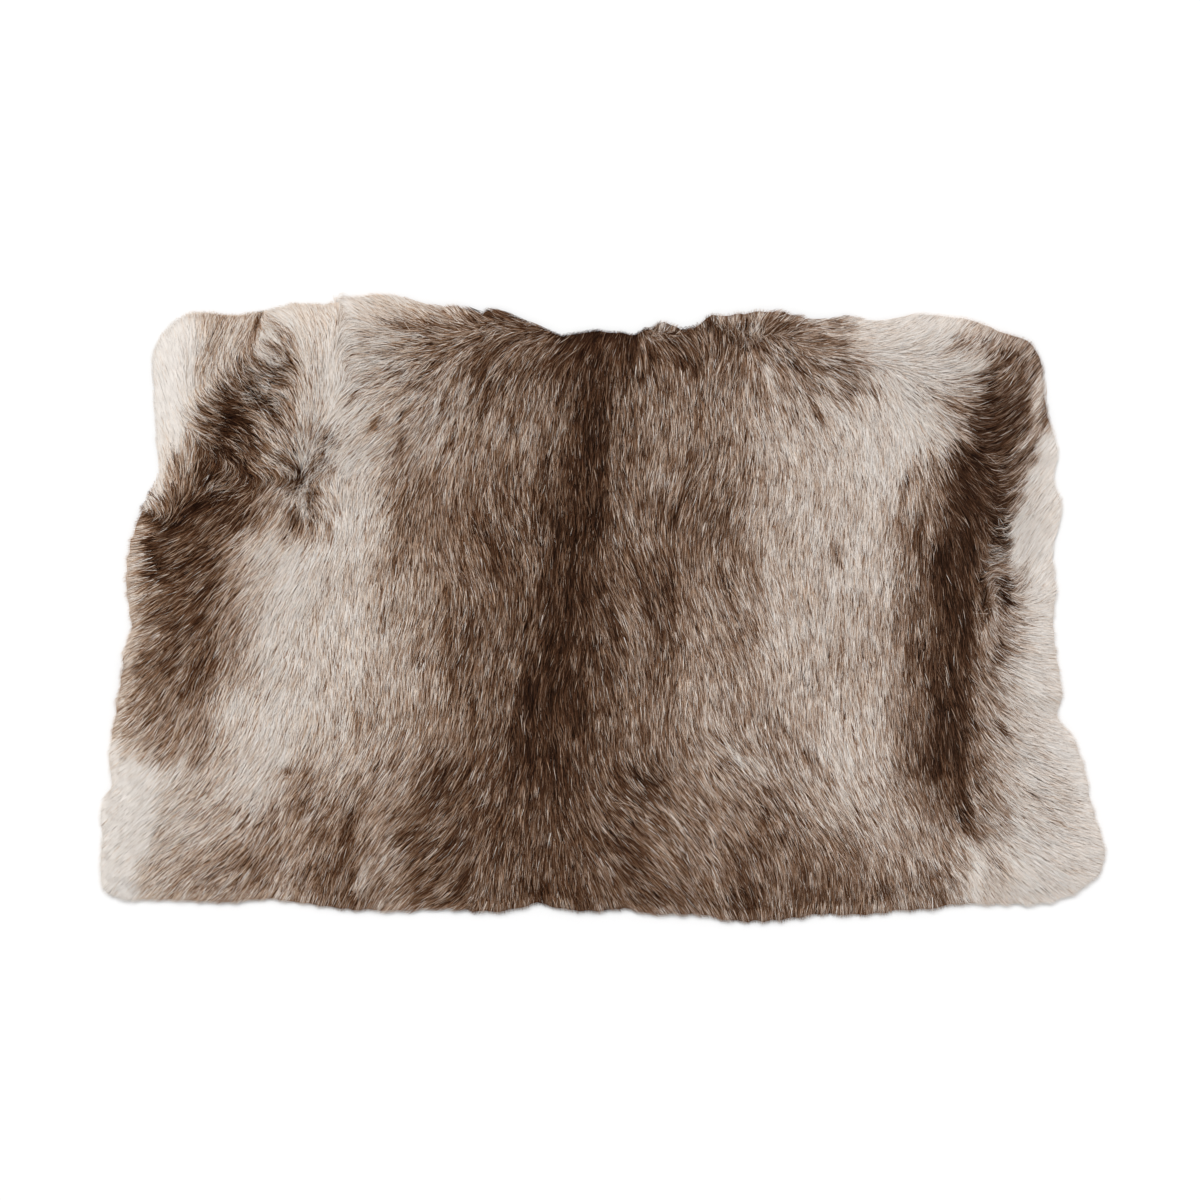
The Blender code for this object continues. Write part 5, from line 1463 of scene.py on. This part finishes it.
def tint_wool(mesh, inset, colours):
    """Stores the wool's colours: those of the hair over it, with painted shade away from the rim."""
    corners = np.empty(len(mesh.vertices) * 3)
    mesh.vertices.foreach_get("co", corners)
    plan = corners.reshape(-1, 3)[:, :2]
    rim_share = 1.0 - soft_step(read_field(inset, plan) / RIM_PALING)
    tones = paled(read_field(tone_field(), plan), rim_share)
    # painted shade under the coat, fading out at the rim
    tones -= WOOL_PAINTED_SHADE * (1.0 - rim_share) * np.interp(tones, CONTRAST_TONES, CONTRASTS)
    tones = np.clip(tones, 0.0, 1.0)
    rgba = np.ones((len(plan), 4))
    rgba[:, :3] = warmed(hair_colours(tones, colours), tones, warmth_at(plan))
    store(mesh, "hair_colour", "FLOAT_COLOR", "color", rgba)
    store(mesh, "along_hair", "FLOAT", "value", WOOL_ALONG + RIM_WOOL_ALONG * rim_share)


class HIDE_OT_skin(bpy.types.Operator):
    """Makes the tanned skin, a thin sheet that lies on the floor under the coat."""

    bl_idname = "hide.skin"
    bl_label = "Make skin"

    def execute(self, context):
        body = context.scene.hide_body
        rim = even_rim(coat_fields()[0], SKIN_CORNERS, body.skin_inset)

        def top(plan):
            waves = swells(plan, SKIN_SWELL_SIZE, np.random.default_rng(SKIN_SEED))
            return body.skin_depth * (1.0 + SKIN_SWELL * waves)

        skin = closed_sheet("skin", rim, SKIN_RINGS, top, lambda plan: np.zeros(len(plan)),
                            suede_material(context.scene.hide_colours.suede))
        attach(skin, "root")
        return {"FINISHED"}


class HIDE_OT_underfur(bpy.types.Operator):
    """Makes the woolly underfur: a slab a little lower than the coat, with small lumps."""

    bl_idname = "hide.underfur"
    bl_label = "Make underfur"

    def execute(self, context):
        body = context.scene.hide_body
        inset, height = coat_fields()[0], underfur_height()
        rim = even_rim(inset, WOOL_CORNERS, body.underfur_inset)

        def top(plan):
            chance = np.random.default_rng(WOOL_SEED)
            pile = read_field(height, plan) * body.underfur_share
            lumps = sum(share * swells(plan, size, chance) for size, share in WOOL_LUMPS)
            edge = soft_step(read_field(inset, plan) / WOOL_LUMP_FADE)
            return np.maximum(pile + body.wool_relief * lumps * edge, WOOL_LEAST)

        piece = closed_sheet("underfur", rim, WOOL_RINGS, top,
                             lambda plan: np.full(len(plan), WOOL_UNDER), wool_material())
        tint_wool(piece.data, inset, context.scene.hide_colours)
        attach(piece, "root")
        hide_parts("hide")
        return {"FINISHED"}


class HIDE_OT_coat(bpy.types.Operator):
    """Combs the guard hair over the underfur, in bands from the neck to the rump."""

    bl_idname = "hide.coat"
    bl_label = "Comb coat"

    def execute(self, context):
        corners, colours, roots = comb_coat(context.scene.hide_coat, context.scene.hide_colours)
        material, _, _ = hair_material("Guard hair", painted_root_shade=0.80, mottle_size=60.0, mottle_depth=0.18)
        order = np.argsort(-roots[:, 1], kind="stable")
        for name, part in zip(BANDS, np.array_split(order, len(BANDS))):
            part = in_columns(part, roots)
            band = hair_band(name, corners[part], colours[part], material)
            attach(band, "root")
            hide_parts("hide")
        return {"FINISHED"}


class HIDE_OT_stage(bpy.types.Operator):
    """Sets the studio: a pale floor, a large soft lamp, light all round and a camera straight above."""

    bl_idname = "hide.stage"
    bl_label = "Set stage"

    def execute(self, context):
        scene, stage = context.scene, context.scene.hide_stage
        bpy.ops.mesh.primitive_plane_add(size=FLOOR_SPAN, location=(0, 0, -FLOOR_DROP))
        floor = context.object
        floor.name = "floor"
        material, _, _ = new_material(
            "Studio floor", {"Base Color": (*stage.floor, 1.0), "Roughness": 0.9})
        floor.data.materials.append(material)

        lamp = bpy.data.lights.new("Key", "SUN")
        lamp.energy = stage.key_light
        lamp.angle = KEY_ANGLE
        key = bpy.data.objects.new("Key", lamp)
        key.rotation_euler = Vector(KEY_FROM).to_track_quat("Z", "Y").to_euler()
        scene.collection.objects.link(key)

        world = bpy.data.worlds.new("Studio")
        world.use_nodes = True
        background = world.node_tree.nodes["Background"]
        background.inputs["Color"].default_value = (1.0, 1.0, 1.0, 1.0)
        background.inputs["Strength"].default_value = stage.fill_light
        scene.world = world
        scene.view_settings.view_transform = "Standard"

        data = bpy.data.cameras.new("Camera")
        data.lens = stage.lens
        camera = bpy.data.objects.new("Camera", data)
        aim = on_hide([CHART_CAMERA])[0]
        camera.location = (aim[0], aim[1], stage.frame_width * stage.lens / data.sensor_width)
        scene.collection.objects.link(camera)
        scene.camera = camera
        return {"FINISHED"}


class HIDE_PT_panel(bpy.types.Panel):
    """The hide's operators and settings."""

    bl_idname = "HIDE_PT_panel"
    bl_label = "Reindeer Hide"
    bl_space_type = "VIEW_3D"
    bl_region_type = "UI"
    bl_category = "Hide"

    def draw(self, context):
        for maker, group in ((HIDE_OT_skin, "hide_body"), (HIDE_OT_underfur, "hide_colours"),
                             (HIDE_OT_coat, "hide_coat"), (HIDE_OT_stage, "hide_stage")):
            self.layout.operator(maker.bl_idname)
            settings = getattr(context.scene, group)
            for name in settings.__annotations__:
                self.layout.prop(settings, name)


GROUPS = {
    "hide_body": HideBodySettings,
    "hide_coat": HideCoatSettings,
    "hide_colours": HideColourSettings,
    "hide_stage": HideStageSettings,
}
CLASSES = (*GROUPS.values(), HIDE_OT_skin, HIDE_OT_underfur, HIDE_OT_coat, HIDE_OT_stage, HIDE_PT_panel)


def register():
    for made in CLASSES:
        bpy.utils.register_class(made)
    for name, group in GROUPS.items():
        setattr(bpy.types.Scene, name, bpy.props.PointerProperty(type=group))


def unregister():
    for name in GROUPS:
        delattr(bpy.types.Scene, name)
    for made in reversed(CLASSES):
        bpy.utils.unregister_class(made)


def main():
    register()
    bpy.ops.hide.stage()
    bpy.ops.hide.skin()
    bpy.ops.hide.underfur()
    bpy.ops.hide.coat()


if __name__ == "__main__":
    main()
